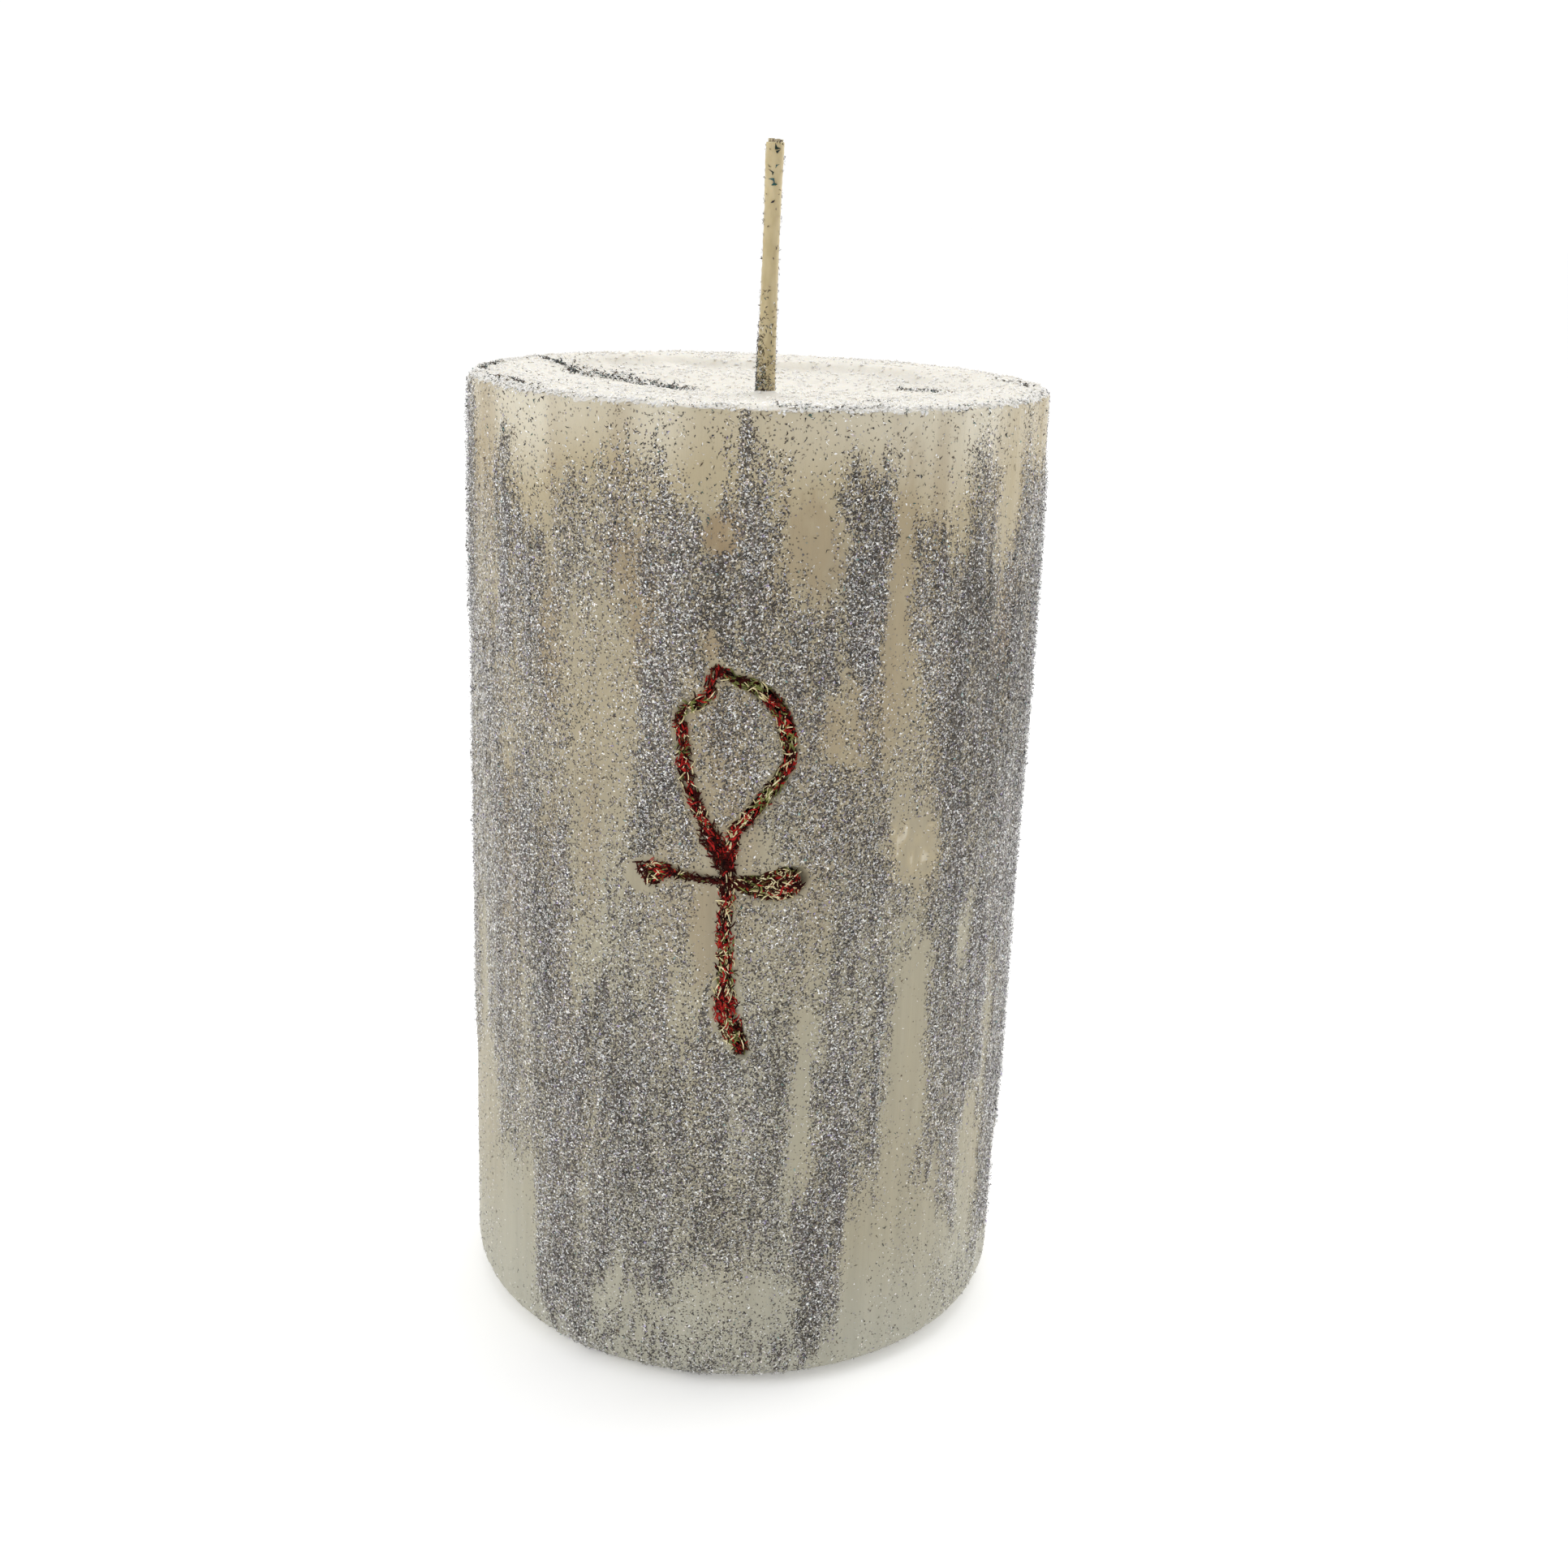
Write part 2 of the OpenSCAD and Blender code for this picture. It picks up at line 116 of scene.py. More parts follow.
# Stations of each stroke, flat on the X-Z plane: x, z, half-width.
STROKES = {
    "loop_left": [
        (-3.9, 99.3, 0.75), (-4.6, 97.8, 0.80), (-5.0, 96.0, 0.85), (-6.3, 94.8, 0.80), (-7.8, 94.0, 0.75),
        (-8.2, 92.3, 0.85), (-7.8, 89.6, 0.85), (-7.6, 86.8, 0.90), (-6.7, 83.6, 0.95), (-5.5, 80.9, 1.00),
        (-4.5, 78.9, 0.95)],
    "loop_right": [
        (-3.9, 99.3, 0.65), (-2.3, 98.3, 0.70), (-0.5, 97.6, 0.75), (1.4, 96.7, 0.80), (2.9, 95.3, 0.85),
        (4.1, 93.4, 0.95), (4.7, 91.0, 0.90), (5.1, 88.5, 0.70), (3.9, 85.9, 0.75), (1.8, 82.9, 0.80),
        (0.1, 80.7, 0.85), (-1.2, 79.1, 1.00), (-1.8, 77.4, 1.10), (-2.0, 75.8, 1.00)],
    "neck": [(-4.9, 79.4, 1.1), (-4.2, 78.0, 1.5), (-3.1, 76.3, 1.6), (-2.4, 74.4, 1.3)],
    "left_arm": [
        (-12.5, 72.3, 2.0), (-11.6, 72.8, 1.9), (-10.4, 73.1, 1.45), (-9.0, 73.2, 0.80), (-7.4, 72.9, 0.5),
        (-4.8, 72.6, 0.5), (-2.6, 72.4, 0.6)],
    "right_arm": [
        (-2.0, 72.4, 0.8), (-0.3, 72.2, 1.0), (1.3, 72.0, 1.25), (3.2, 71.9, 1.75), (5.0, 72.3, 2.0),
        (6.7, 73.0, 1.3)],
    "stem": [
        (-2.2, 75.6, 1.1), (-2.1, 73.4, 1.1), (-2.1, 71.0, 1.05), (-2.2, 67.4, 1.0), (-2.1, 63.2, 1.05),
        (-1.9, 59.4, 1.25), (-2.0, 56.2, 1.55), (-1.3, 53.2, 1.5), (-0.3, 51.0, 1.2), (0.4, 49.6, 0.8)],
}
# Width of a stroke at its first and last station, as a share: fine unless it is named.
FINE_ENDS = (0.55, 0.55)
BLUNT_ENDS = {"left_arm": (0.9, 1.0), "right_arm": (1.0, 0.8), "neck": (0.9, 0.9)}
CROSS_BEARING, CROSS_SPREAD = -6, 20       # the cross lies within this angle of this bearing
CROSS_LOW, CROSS_HIGH = 44, 105            # and between these heights
FAR = 1e3              # stands for a point nowhere near the cross


def smooth_path(stations, steps=8):
    """Catmull-Rom curve through the stations."""
    p = np.array(stations, float)
    p = np.vstack([p[:1], p, p[-1:]])
    t = (np.arange(steps) / steps)[:, None]
    parts = []
    for a, b, c, d in zip(p[:-3], p[1:-2], p[2:-1], p[3:]):
        parts.append(0.5 * (2 * b + (c - a) * t + (2 * a - 5 * b + 4 * c - d) * t ** 2
                            + (3 * b - a - 3 * c + d) * t ** 3))
    return np.vstack(parts + [p[-1:]])


STROKE_PATHS = {name: smooth_path(stations) for name, stations in STROKES.items()}


def cross_distance(x, z):
    """Distance from the edge of the nearest stroke, below zero inside it."""
    x, z = np.asarray(x, float), np.asarray(z, float)
    best = np.full(x.shape, FAR)
    for path in STROKE_PATHS.values():
        for px, pz, half in path:
            best = np.minimum(best, np.hypot(x - px, z - pz) - half)
    return best


def cross_field(bearing, z):
    """cross_distance for points of the wall, worked out only near the cross."""
    bearing = np.asarray(bearing, float)
    z = np.broadcast_to(np.asarray(z, float), bearing.shape)
    out = np.full(bearing.shape, FAR)
    near = (np.abs(bearing - CROSS_BEARING) < CROSS_SPREAD) & (z > CROSS_LOW) & (z < CROSS_HIGH)
    out[near] = cross_distance(PILLAR_R * np.sin(np.radians(bearing[near])), z[near])
    return out


# ---------------------------------------------------------------- where the glitter lies

# Brushed strokes of glitter: first bearing, last bearing, bottom, top, cover from 0 to 1.
GLITTER_STROKES = [
    # left of the cross
    (-60, -53, 108, 123, 0.55), (-57, -43, 94, 115, 0.85), (-66, -50, 84, 98, 0.55),
    (-72, -60, 60, 100, 0.50), (-50, -43, 60, 95, 0.48), (-43, -36, 84, 100, 0.40),
    (-52, -36, 78, 86, 0.30), (-45, -35.5, 57, 78, 0.80), (-66, -58, 40, 86, 0.55),
    (-60, -45, 28, 80, 0.62), (-43, -36, 100, 108, 0.30), (-70, -58, 96, 118, 0.28),
    (-84, -70, 40, 128, 0.55), (-80, -72, 96, 129, 0.80), (-45, -38, 3, 58, 0.82),
    (-38, -30, 4, 56, 0.80), (-30, -20, 14, 56, 0.78), (-20, -12, 12, 56, 0.72),
    (-40, -30, 106, 122, 0.50), (-30, -19, 108, 121, 0.45), (-26, -18, 118, 126, 0.32),
    (-35, -20, 57, 108, 0.16), (-30.5, -28, 62, 100, 0.20),
    # under, inside and over the cross
    (-20, -10, 75, 121, 0.80), (-10, 1, 99, 118, 0.82), (-3.2, -1.4, 110, 131, 0.9),
    (-5, 4, 114, 125, 0.35), (-26, -9, 57, 76, 0.40), (-13, -9, 16, 52, 0.45), (-9, 0, 18, 56, 0.62),
    (-8, 8, 78, 99, 0.60), (-14.5, -11.5, 12, 19, 0.55), (-35, 12, 0, 6, 0.50), (-12, 14, 2, 20, 0.14),
    # right of the cross
    (0, 5, 97, 118, 0.72), (5, 15, 95, 110, 0.78), (15.5, 25, 116, 124, 0.75),
    (17, 24.5, 97, 119, 0.88), (20, 27, 86, 99, 0.42), (30, 39, 99, 116, 0.78), (30, 38, 80, 100, 0.26),
    (15, 29, 79, 88, 0.45), (17, 28.5, 60, 80, 0.82), (8, 17, 74, 95, 0.58), (10, 18, 58, 76, 0.35),
    (-1, 11, 46, 72, 0.50), (0, 11, 18, 50, 0.62), (15.5, 30, 26, 58, 0.75), (12, 22, 6, 30, 0.80),
    (29, 34, 58, 72, 0.40), (36, 42, 60, 72, 0.60), (38, 52, 68, 109, 0.90), (43, 53, 104, 123, 0.55),
    (52, 62, 34, 112, 0.88), (40, 47, 26, 70, 0.75), (46, 53, 19, 60, 0.65), (59.5, 65, 104, 126, 0.65),
    (60, 68, 58, 108, 0.85), (64, 75, 9, 120, 0.85), (74, 86, 28, 117, 0.80), (45, 66, 4, 10, 0.22),
]
# Round the back the strokes are made up: the same widths and lengths, in seeded order.
BACK_FROM, BACK_TO, BACK_PITCH = 86, 276, 9.0
# Bare places: bearing, height, half-width in degrees, half-height, strength.
BARE_PATCHES = [
    (-12, 121.5, 7.0, 3.6, 0.8), (-6.5, 115.0, 3.0, 2.6, 0.9), (-7.5, 102.0, 1.8, 1.5, 0.7),
    (-24, 110.5, 3.2, 2.8, 0.6), (-22, 116.0, 2.4, 1.2, 0.6), (-19, 104.0, 1.8, 3.5, 0.5),
    (11.0, 114.0, 5.0, 5.5, 0.75), (14.8, 92.5, 2.2, 4.6, 0.80), (18.5, 88.2, 3.6, 1.4, 0.85),
    (27.5, 104.0, 2.6, 18, 0.80), (-7.0, 84.0, 2.6, 5.0, 0.45), (-7.4, 65.0, 2.0, 8.0, 0.75),
    (14.6, 66.0, 2.4, 9.0, 0.4), (35.0, 74.0, 6.5, 4.2, 0.85), (35.0, 50.0, 4.5, 14, 0.9),
    (-28, 84.0, 5.5, 16, 0.40), (-6.0, 14.0, 9.0, 3.6, 0.4), (6.0, 14.0, 6.0, 4.0, 0.6),
    (12.6, 38.0, 1.8, 11, 0.45), (-48.5, 50.0, 1.4, 14, 0.35), (56.5, 120.0, 3.0, 4.5, 0.8),
    (62.4, 44.0, 2.2, 11, 0.75), (25.5, 16.0, 3.5, 9.0, 0.85), (-52, 14.0, 6.0, 9.0, 0.9),
    (4.0, 62.0, 5.0, 7.0, 0.35),
]
# Glue that has yellowed to brown: bearing, height, half-width in degrees, half-height, strength.
BROWN_PATCHES = [
    (-6.5, 115.0, 3.8, 3.2, 0.9), (-23.5, 111.0, 4.6, 4.5, 0.6), (-7.5, 102.0, 2.4, 2.2, 0.7),
    (9.5, 113.0, 7.0, 6.0, 0.45), (-20, 105.0, 3.0, 6.0, 0.6), (-41, 99.0, 2.8, 8.0, 0.5),
    (15.5, 92.0, 3.4, 5.0, 0.4), (27.5, 113.0, 3.0, 11.0, 0.35), (57.0, 101.0, 4.5, 8.0, 0.9),
    (-7.5, 65.0, 3.0, 9.0, 0.4), (-5.0, 86.0, 5.0, 9.0, 0.5),
]
CHALK_PATCH = (35.0, 73.5, 7.5, 5.0)       # scuffed white wax
SIDE_SOFT = 1.8        # softness of a glitter stroke's sides, in degrees
END_SOFT = 3.0         # softness of its ends, in millimetres
BASE_COVER = 0.05      # thin glitter over the whole wall


def back_strokes():
    """Seeded strokes for the back of the wall, about a third of them with a gap."""
    rng = np.random.default_rng(41)
    strokes, at = [], BACK_FROM
    while at < BACK_TO:
        width = BACK_PITCH * rng.uniform(0.7, 1.3)
        top = rng.uniform(100, 127)
        bottom = rng.choice([4, 12, 24, 34]) + rng.uniform(-3, 5)
        strokes.append((at, at + width, bottom, top, rng.uniform(0.45, 0.9)))
        if rng.random() < 0.35:
            gap_at = rng.uniform(50, 90)
            strokes[-1] = (at, at + width, bottom, gap_at - 8, strokes[-1][4])
            strokes.append((at, at + width, gap_at + 6, top, strokes[-1][4]))
        at += width * rng.uniform(0.9, 1.15)
    return strokes


ALL_STROKES = GLITTER_STROKES + back_strokes()


def folded(bearing):
    """Bearings brought between -90 and 270, where every table of strokes lies."""
    return (np.asarray(bearing, float) + 90) % 360 - 90


def patch(bearing, z, centre, height, half_deg, half_mm, seed):
    """A ragged oval on the wall, from 0 outside to 1 inside."""
    ragged = wall_noise(bearing, z, 2.6, 3.6, seed) - 0.5 \
        + 0.7 * (wall_noise(bearing, z, 0.9, 1.5, seed + 1) - 0.5)
    away = np.hypot((bearing - centre) / half_deg, (z - height) / half_mm)
    return smoothstep(1.35, 0.60, away + ragged)


def glitter_cover(bearing, z):
    """How much of the wall glitter covers at each point, from 0 to 1."""
    bearing = folded(bearing)
    z = np.asarray(z, float)
    ragged = 9 * (wall_noise(bearing, z, 0.9, 30, 11) - 0.5) \
        + 7 * (wall_noise(bearing, z, 3.2, 40, 12) - 0.5)
    sway = 3.0 * (wall_noise(bearing, z, 6, 14, 13) - 0.5) \
        + 2.4 * (wall_noise(bearing, z, 1.6, 3.5, 16) - 0.5)
    bare = 1 - np.full(bearing.shape, BASE_COVER)
    for first, last, bottom, top, cover in ALL_STROKES:
        soft = min(SIDE_SOFT, 0.3 * (last - first))
        at = bearing + sway * soft / SIDE_SOFT
        side = smoothstep(first - soft, first + soft, at) * smoothstep(last + soft, last - soft, at)
        ends = smoothstep(bottom - END_SOFT, bottom + END_SOFT, z + ragged) \
            * smoothstep(top + END_SOFT, top - END_SOFT, z + ragged * (0.5 if top > 112 else 1))
        bare = bare * (1 - cover * side * ends)
    cover = 1 - bare
    for centre, height, half_deg, half_mm, strength in BARE_PATCHES:
        cover = cover * (1 - strength * patch(bearing, z, centre, height, half_deg, half_mm, 17))
    mottle = 0.30 + 0.30 * wall_noise(bearing, z, 2.4, 5, 14) + 0.66 * wall_noise(bearing, z, 1.1, 18, 15) \
        + 0.34 * wall_noise(bearing, z, 0.8, 1.4, 19)
    cover = cover * mottle
    cover = cover * smoothstep(0.0, 0.8, cross_field(bearing, z))
    return np.clip(cover, 0, 1)


def glitter_darkness_with_painted_side_shade(bearing, z):
    """How dark the glitter is, from 0 for mostly white flakes to 1 for mostly dark ones: its own mix in noise
    and patches, plus painted side shade that makes the left half lighter and the right side darker, as if lit
    from the left.
    """
    bearing = folded(bearing)
    shade = 0.45 + 0.55 * (wall_noise(bearing, z, 7, 13, 23) - 0.5) \
        + 0.3 * (wall_noise(bearing, z, 1.5, 9, 24) - 0.5)
    # painted shade: the right side of the wall is made darker here, as if lit from the left
    shade = shade + 0.34 * smoothstep(35, 42, bearing) * smoothstep(76, 86, z) * smoothstep(118, 106, z)
    shade = shade - 0.22 * smoothstep(36, 42, bearing) * smoothstep(80, 70, z)
    shade = shade + 0.22 * smoothstep(-13, -8, bearing) * smoothstep(8, 0, bearing) * smoothstep(96, 102, z)
    # painted light: the left side is made lighter in these two lines, as if lit from the left
    shade = shade - 0.25 * smoothstep(-43, -48, bearing) * smoothstep(100, 90, z)
    shade = shade - 0.20 * smoothstep(-18, -40, bearing)
    return np.clip(shade, 0, 1)


def wall_tone(bearing, z):
    """Colour of the glue from 0, olive grey at the foot, to 1, pale at the rim."""
    tone = 0.30 + 0.36 * smoothstep(50, 108, z) + 0.30 * (wall_noise(bearing, z, 9, 22, 56) - 0.5)
    tone = tone * smoothstep(-8, 34, z)
    wisps = 0.5 * wall_noise(bearing, z, 2.6, 1.6, 58) + 0.5 * wall_noise(bearing, z, 1.5, 1.1, 59)
    chalk = patch(bearing, z, *CHALK_PATCH, 57) * (0.14 + 0.34 * smoothstep(0.4, 0.75, wisps))
    return np.clip(tone + 0.27 * smoothstep(110, 130, z) + chalk, 0, 1)


def wall_stain(bearing, z):
    """Where the glue has browned, from 0 to 1."""
    bearing = folded(bearing)
    stain = 0.35 * smoothstep(0.5, 0.9, wall_noise(bearing, z, 5, 24, 25)) * smoothstep(20, 90, z)
    for *spot, strength in BROWN_PATCHES:
        stain = np.maximum(stain, strength * patch(bearing, z, *spot, 26))
    return stain


# ---------------------------------------------------------------- surfaces

def wall_wobble(bearing, z):
    """The wall of a hand-worked pillar isn't quite round or straight."""
    wide = wall_noise(bearing, z, 24, 30, 21) - 0.5
    fine = wall_noise(bearing, z, 7, 12, 22) - 0.5
    return 0.30 * wide + 0.12 * fine


def groove(bearing, z, spread):
    """Depth of the carved groove; spread widens it."""
    return GROOVE_DEPTH * smoothstep(0.1 + spread, -0.55 + spread, cross_field(bearing, z))


def wall_to_xyz(bearing, z, radius):
    """Points in X, Y and Z from bearing, height and radius."""
    a = np.radians(bearing)
    return np.stack([radius * np.sin(a), -radius * np.cos(a), np.broadcast_to(z, a.shape)], axis=-1)


def make_mesh(name, points, faces, sizes=None, smooth=True):
    """A mesh object from a point array in mm, and faces as one index array of quads or
    triangles, or as a flat array with sizes."""
    mesh = bpy.data.meshes.new(name)
    points = np.asarray(points, np.float32).reshape(-1, 3) * MM
    faces = np.asarray(faces, np.int32)
    if sizes is None:
        sizes = np.full(len(faces), faces.shape[1], np.int32)
    flat = faces.reshape(-1)
    starts = np.concatenate([[0], np.cumsum(sizes)[:-1]]).astype(np.int32)
    mesh.vertices.add(len(points))
    mesh.vertices.foreach_set("co", points.reshape(-1))
    mesh.loops.add(len(flat))
    mesh.loops.foreach_set("vertex_index", flat)
    mesh.polygons.add(len(sizes))
    mesh.polygons.foreach_set("loop_start", starts)
    mesh.polygons.foreach_set("use_smooth", np.full(len(sizes), smooth))
    mesh.update(calc_edges=True)
    mesh.validate()
    piece = bpy.data.objects.new(name, mesh)
    bpy.context.scene.collection.objects.link(piece)
    return piece


def ring_faces(rows, columns):
    """Quads of a grid that closes on itself round the columns."""
    r, c = np.meshgrid(np.arange(rows - 1), np.arange(columns), indexing="ij")
    n = (c + 1) % columns
    return np.stack([r * columns + c, r * columns + n, (r + 1) * columns + n, (r + 1) * columns + c],
                    axis=-1).reshape(-1, 4)


def capped_tube(name, points, rows, columns):
    """A closed tube from rings of points, one ring per row, capped at both ends."""
    faces = ring_faces(rows, columns)
    start, end = np.arange(columns)[::-1], np.arange(columns) + (rows - 1) * columns
    flat = np.concatenate([faces.reshape(-1), start, end])
    sizes = np.concatenate([np.full(len(faces), 4), [columns, columns]]).astype(np.int32)
    return make_mesh(name, points, flat, sizes)


def outward(bearing):
    """Level directions that point out of the wall at each bearing."""
    a = np.radians(bearing)
    return np.stack([np.sin(a), -np.cos(a), np.zeros_like(a)], axis=-1)


def put_attribute(piece, name, values):
    """A grey value per vertex, for a material to read."""
    data = piece.data.color_attributes.new(name, "FLOAT_COLOR", "POINT")
    values = np.asarray(values, np.float32).reshape(-1)
    rgba = np.repeat(values[:, None], 4, axis=1)
    rgba[:, 3] = 1
    data.data.foreach_set("color", rgba.reshape(-1))


def dress(piece, looks, tints=None, replaced=(), slot=None):
    """Gives a piece its looks, a look number per face, and its body and nodes; the slot is not used."""
    for look in looks:
        piece.data.materials.append(look)
    if tints is not None:
        piece.data.polygons.foreach_set("material_index", tints.astype(np.int32))
    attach(piece, "root")
    if replaced:
        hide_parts(*replaced)


# ---------------------------------------------------------------- node materials

class Look:
    """A node material, put together one node at a time."""

    def __init__(self, name, **constants):
        self.material = bpy.data.materials.new(name)
        self.material.use_nodes = True
        self.tree = self.material.node_tree
        self.shader = self.tree.nodes["Principled BSDF"]
        for socket, value in constants.items():
            self.shader.inputs[socket.replace("_", " ")].default_value = value

    def node(self, kind, **settings):
        node = self.tree.nodes.new(kind)
        for key, value in settings.items():
            setattr(node, key, value)
        return node

    def feed(self, value, socket):
        """Links a socket in, or sets a plain number or colour."""
        if isinstance(value, bpy.types.NodeSocket):
            self.tree.links.new(value, socket)
        elif isinstance(value, tuple):
            socket.default_value = (*value, 1)
        else:
            socket.default_value = value

    def texture(self, kind, output, size_mm, stretch=(1, 1, 1), **inputs):
        """A texture with lumps or cells about size_mm across, fixed to the object."""
        node = self.node(kind)
        node.inputs["Scale"].default_value = 1 / (size_mm * MM)
        for socket, value in inputs.items():
            node.inputs[socket].default_value = value
        coords, mapping = self.node("ShaderNodeTexCoord"), self.node("ShaderNodeMapping")
        mapping.inputs["Scale"].default_value = stretch
        self.feed(coords.outputs["Object"], mapping.inputs["Vector"])
        self.feed(mapping.outputs["Vector"], node.inputs["Vector"])
        return node.outputs[output]

    def noise(self, size_mm, stretch=(1, 1, 1), detail=3.0, roughness=0.55):
        return self.texture("ShaderNodeTexNoise", "Fac", size_mm, stretch, Detail=detail, Roughness=roughness)

    def cells(self, size_mm, output="Color"):
        return self.texture("ShaderNodeTexVoronoi", output, size_mm)

    def ramp(self, factor, stops):
        node = self.node("ShaderNodeValToRGB")
        elements = node.color_ramp.elements
        while len(elements) < len(stops):
            elements.new(0.5)
        for element, (at, colour) in zip(elements, stops):
            element.position = at
            element.color = (*colour, 1)
        self.feed(factor, node.inputs["Fac"])
        return node.outputs["Color"]

    def grey_ramp(self, factor, stops):
        return self.ramp(factor, [(at, (v, v, v)) for at, v in stops])

    def mix(self, factor, a, b, blend="MIX"):
        node = self.node("ShaderNodeMix", data_type="RGBA", blend_type=blend)
        # this node keeps its colour sockets at these places; their names are shared
        self.feed(factor, node.inputs[0])
        self.feed(a, node.inputs[6])
        self.feed(b, node.inputs[7])
        return node.outputs[2]

    def maths(self, operation, a, b):
        node = self.node("ShaderNodeMath", operation=operation)
        self.feed(a, node.inputs[0])
        self.feed(b, node.inputs[1])
        return node.outputs[0]

    def attribute(self, name):
        return self.node("ShaderNodeAttribute", attribute_name=name).outputs["Fac"]

    def channel(self, colour, which):
        node = self.node("ShaderNodeSeparateColor")
        self.feed(colour, node.inputs["Color"])
        return node.outputs[which]

    def bump(self, height, depth_mm, strength, normal=None):
        node = self.node("ShaderNodeBump")
        node.inputs["Strength"].default_value = strength
        node.inputs["Distance"].default_value = depth_mm * MM
        self.feed(height, node.inputs["Height"])
        if normal is not None:
            self.feed(normal, node.inputs["Normal"])
        return node.outputs["Normal"]

    def finish(self, colour=None, roughness=None, normal=None, metallic=None):
        for value, socket in ((colour, "Base Color"), (roughness, "Roughness"), (normal, "Normal"),
                              (metallic, "Metallic")):
            if value is not None:
                self.feed(value, self.shader.inputs[socket])
        return self.material


def cream_wax(name, tint):
    look = Look(name, Subsurface_Weight=0.25, Subsurface_Scale=0.004, Subsurface_Radius=(1.0, 0.75, 0.45),
                Specular_IOR_Level=0.35)
    cloudy = look.noise(9, detail=4)
    crumbs = look.noise(0.7, detail=4, roughness=0.7)
    colour = look.ramp(cloudy, [(0.30, tuple(c * 0.93 for c in tint)), (0.70, tint)])
    dust = look.grey_ramp(look.noise(0.9, detail=5, roughness=0.75), [(0.60, 0.0), (0.72, 1.0)])
    colour = look.mix(look.maths("MULTIPLY", dust, 0.35), colour, (0.50, 0.47, 0.42))
    rough = look.grey_ramp(crumbs, [(0.3, 0.42), (0.7, 0.66)])
    normal = look.bump(crumbs, 0.12, 0.6)
    return look.finish(colour, rough, look.bump(look.noise(2.4, detail=2), 0.25, 0.5, normal))


DUST_MM = 0.19         # size of the glitter dust sunk in the glue
UPRIGHT = (1, 1, 0.045)                    # stretches a pattern into upright brush marks
# Colour ramps of the glue: its tone from foot to rim, then the dust's grey, cast and depth; the depth follows
# the shade attribute and so carries painted side shade.
GLUE_TONES = [(0.0, (0.43, 0.42, 0.345)), (0.30, (0.385, 0.350, 0.252)), (0.55, (0.372, 0.322, 0.220)),
              (0.80, (0.43, 0.362, 0.232)), (1.0, (0.62, 0.57, 0.45))]
DUST_GREYS = [(0.0, (0.025, 0.022, 0.019)), (0.45, (0.072, 0.064, 0.056)), (0.80, (0.16, 0.148, 0.135)),
              (0.92, (0.38, 0.37, 0.35)), (1.0, (0.90, 0.90, 0.88))]
DUST_CASTS = [(0.0, (0.82, 0.90, 1.12)), (0.35, (1.0, 1.0, 1.0)), (0.7, (1.0, 0.98, 0.90)),
              (1.0, (1.08, 0.94, 1.04))]
DUST_DARKNESS_WITH_PAINTED_SIDE_SHADE = [(0.0, (1.9, 1.88, 1.85)), (0.5, (1.1, 1.08, 1.06)), (1.0, (0.60, 0.56, 0.48))]
BROWNED = (0.295, 0.215, 0.120)


def brushed_glue():
    """Tan glue with upright brush marks, and glitter dust sunk in it where the cover is high."""
    look = Look("brushed_glue", Subsurface_Weight=0.10, Subsurface_Scale=0.003,
                Subsurface_Radius=(1.0, 0.7, 0.4), Specular_IOR_Level=0.4)
    cover, tone, stain = look.attribute("cover"), look.attribute("tone"), look.attribute("stain")
    streak = look.noise(1.6, UPRIGHT, detail=5, roughness=0.65)
    hair = look.noise(0.35, (1, 1, 0.03), detail=2)
    base = look.mix(stain, look.ramp(tone, GLUE_TONES), BROWNED)
    shade = look.grey_ramp(streak, [(0.30, 0.84), (0.70, 1.10)])
    base = look.mix(look.grey_ramp(tone, [(0.5, 0.6), (0.8, 0.2)]), base, shade, "MULTIPLY")
    flake = look.cells(DUST_MM)
    value, hue = look.channel(flake, "Red"), look.channel(flake, "Green")
    dust = look.mix(1.0, look.ramp(value, DUST_GREYS), look.ramp(hue, DUST_CASTS), "MULTIPLY")
    # painted side shade: the shade attribute, partly the glitter's own mix and partly painted side light,
    # lightens or darkens the dust
    dust = look.mix(1.0, dust, look.ramp(look.attribute("shade"), DUST_DARKNESS_WITH_PAINTED_SIDE_SHADE), "MULTIPLY")
    spread = look.maths("SUBTRACT", cover, look.channel(flake, "Blue"))
    amount = look.grey_ramp(look.maths("ADD", spread, 0.5), [(0.49, 0.0), (0.53, 0.94)])
    colour = look.mix(amount, base, dust)
    rough = look.mix(amount, look.grey_ramp(streak, [(0.3, 0.42), (0.7, 0.60)]), (0.36, 0.36, 0.36))
    metal = look.maths("MULTIPLY", amount, 0.5)
    normal = look.bump(streak, 0.14, 0.6, look.bump(hair, 0.04, 0.5))
    rise = look.maths("MULTIPLY", look.cells(DUST_MM, "Distance"), amount)
    return look.finish(colour, rough, look.bump(rise, 0.12, 0.8, normal), metal)


FILM_NM = 620.0        # thickest lacquer film of a flake
SHEENS = [(0.0, (1.0, 0.93, 0.86)), (0.5, (1.0, 1.0, 1.0)), (1.0, (0.90, 0.95, 1.0))]


def foil(name, colour, roughness, metallic):
    """A glitter flake: plastic foil whose lacquer film changes thickness from flake to
    flake, so the gloss runs through faint rainbow tints."""
    look = Look(name, Roughness=roughness, Metallic=metallic, Specular_IOR_Level=0.6, Thin_Film_IOR=1.45,
                Base_Color=(*colour, 1))
    flake = look.cells(0.5)
    film = look.maths("MULTIPLY", look.channel(flake, "Red"), FILM_NM)
    look.feed(film, look.shader.inputs["Thin Film Thickness"])
    look.feed(look.ramp(look.channel(flake, "Green"), SHEENS), look.shader.inputs["Specular Tint"])
    return look.material


def fibre(name, dark, light, roughness, gloss=0.22):
    look = Look(name, Specular_IOR_Level=gloss)
    blotch = look.noise(0.8, detail=3)
    line = look.noise(0.12, (1, 1, 0.5), detail=2)
    colour = look.ramp(blotch, [(0.32, dark), (0.66, light)])
    return look.finish(colour, roughness, look.bump(line, 0.03, 0.6))


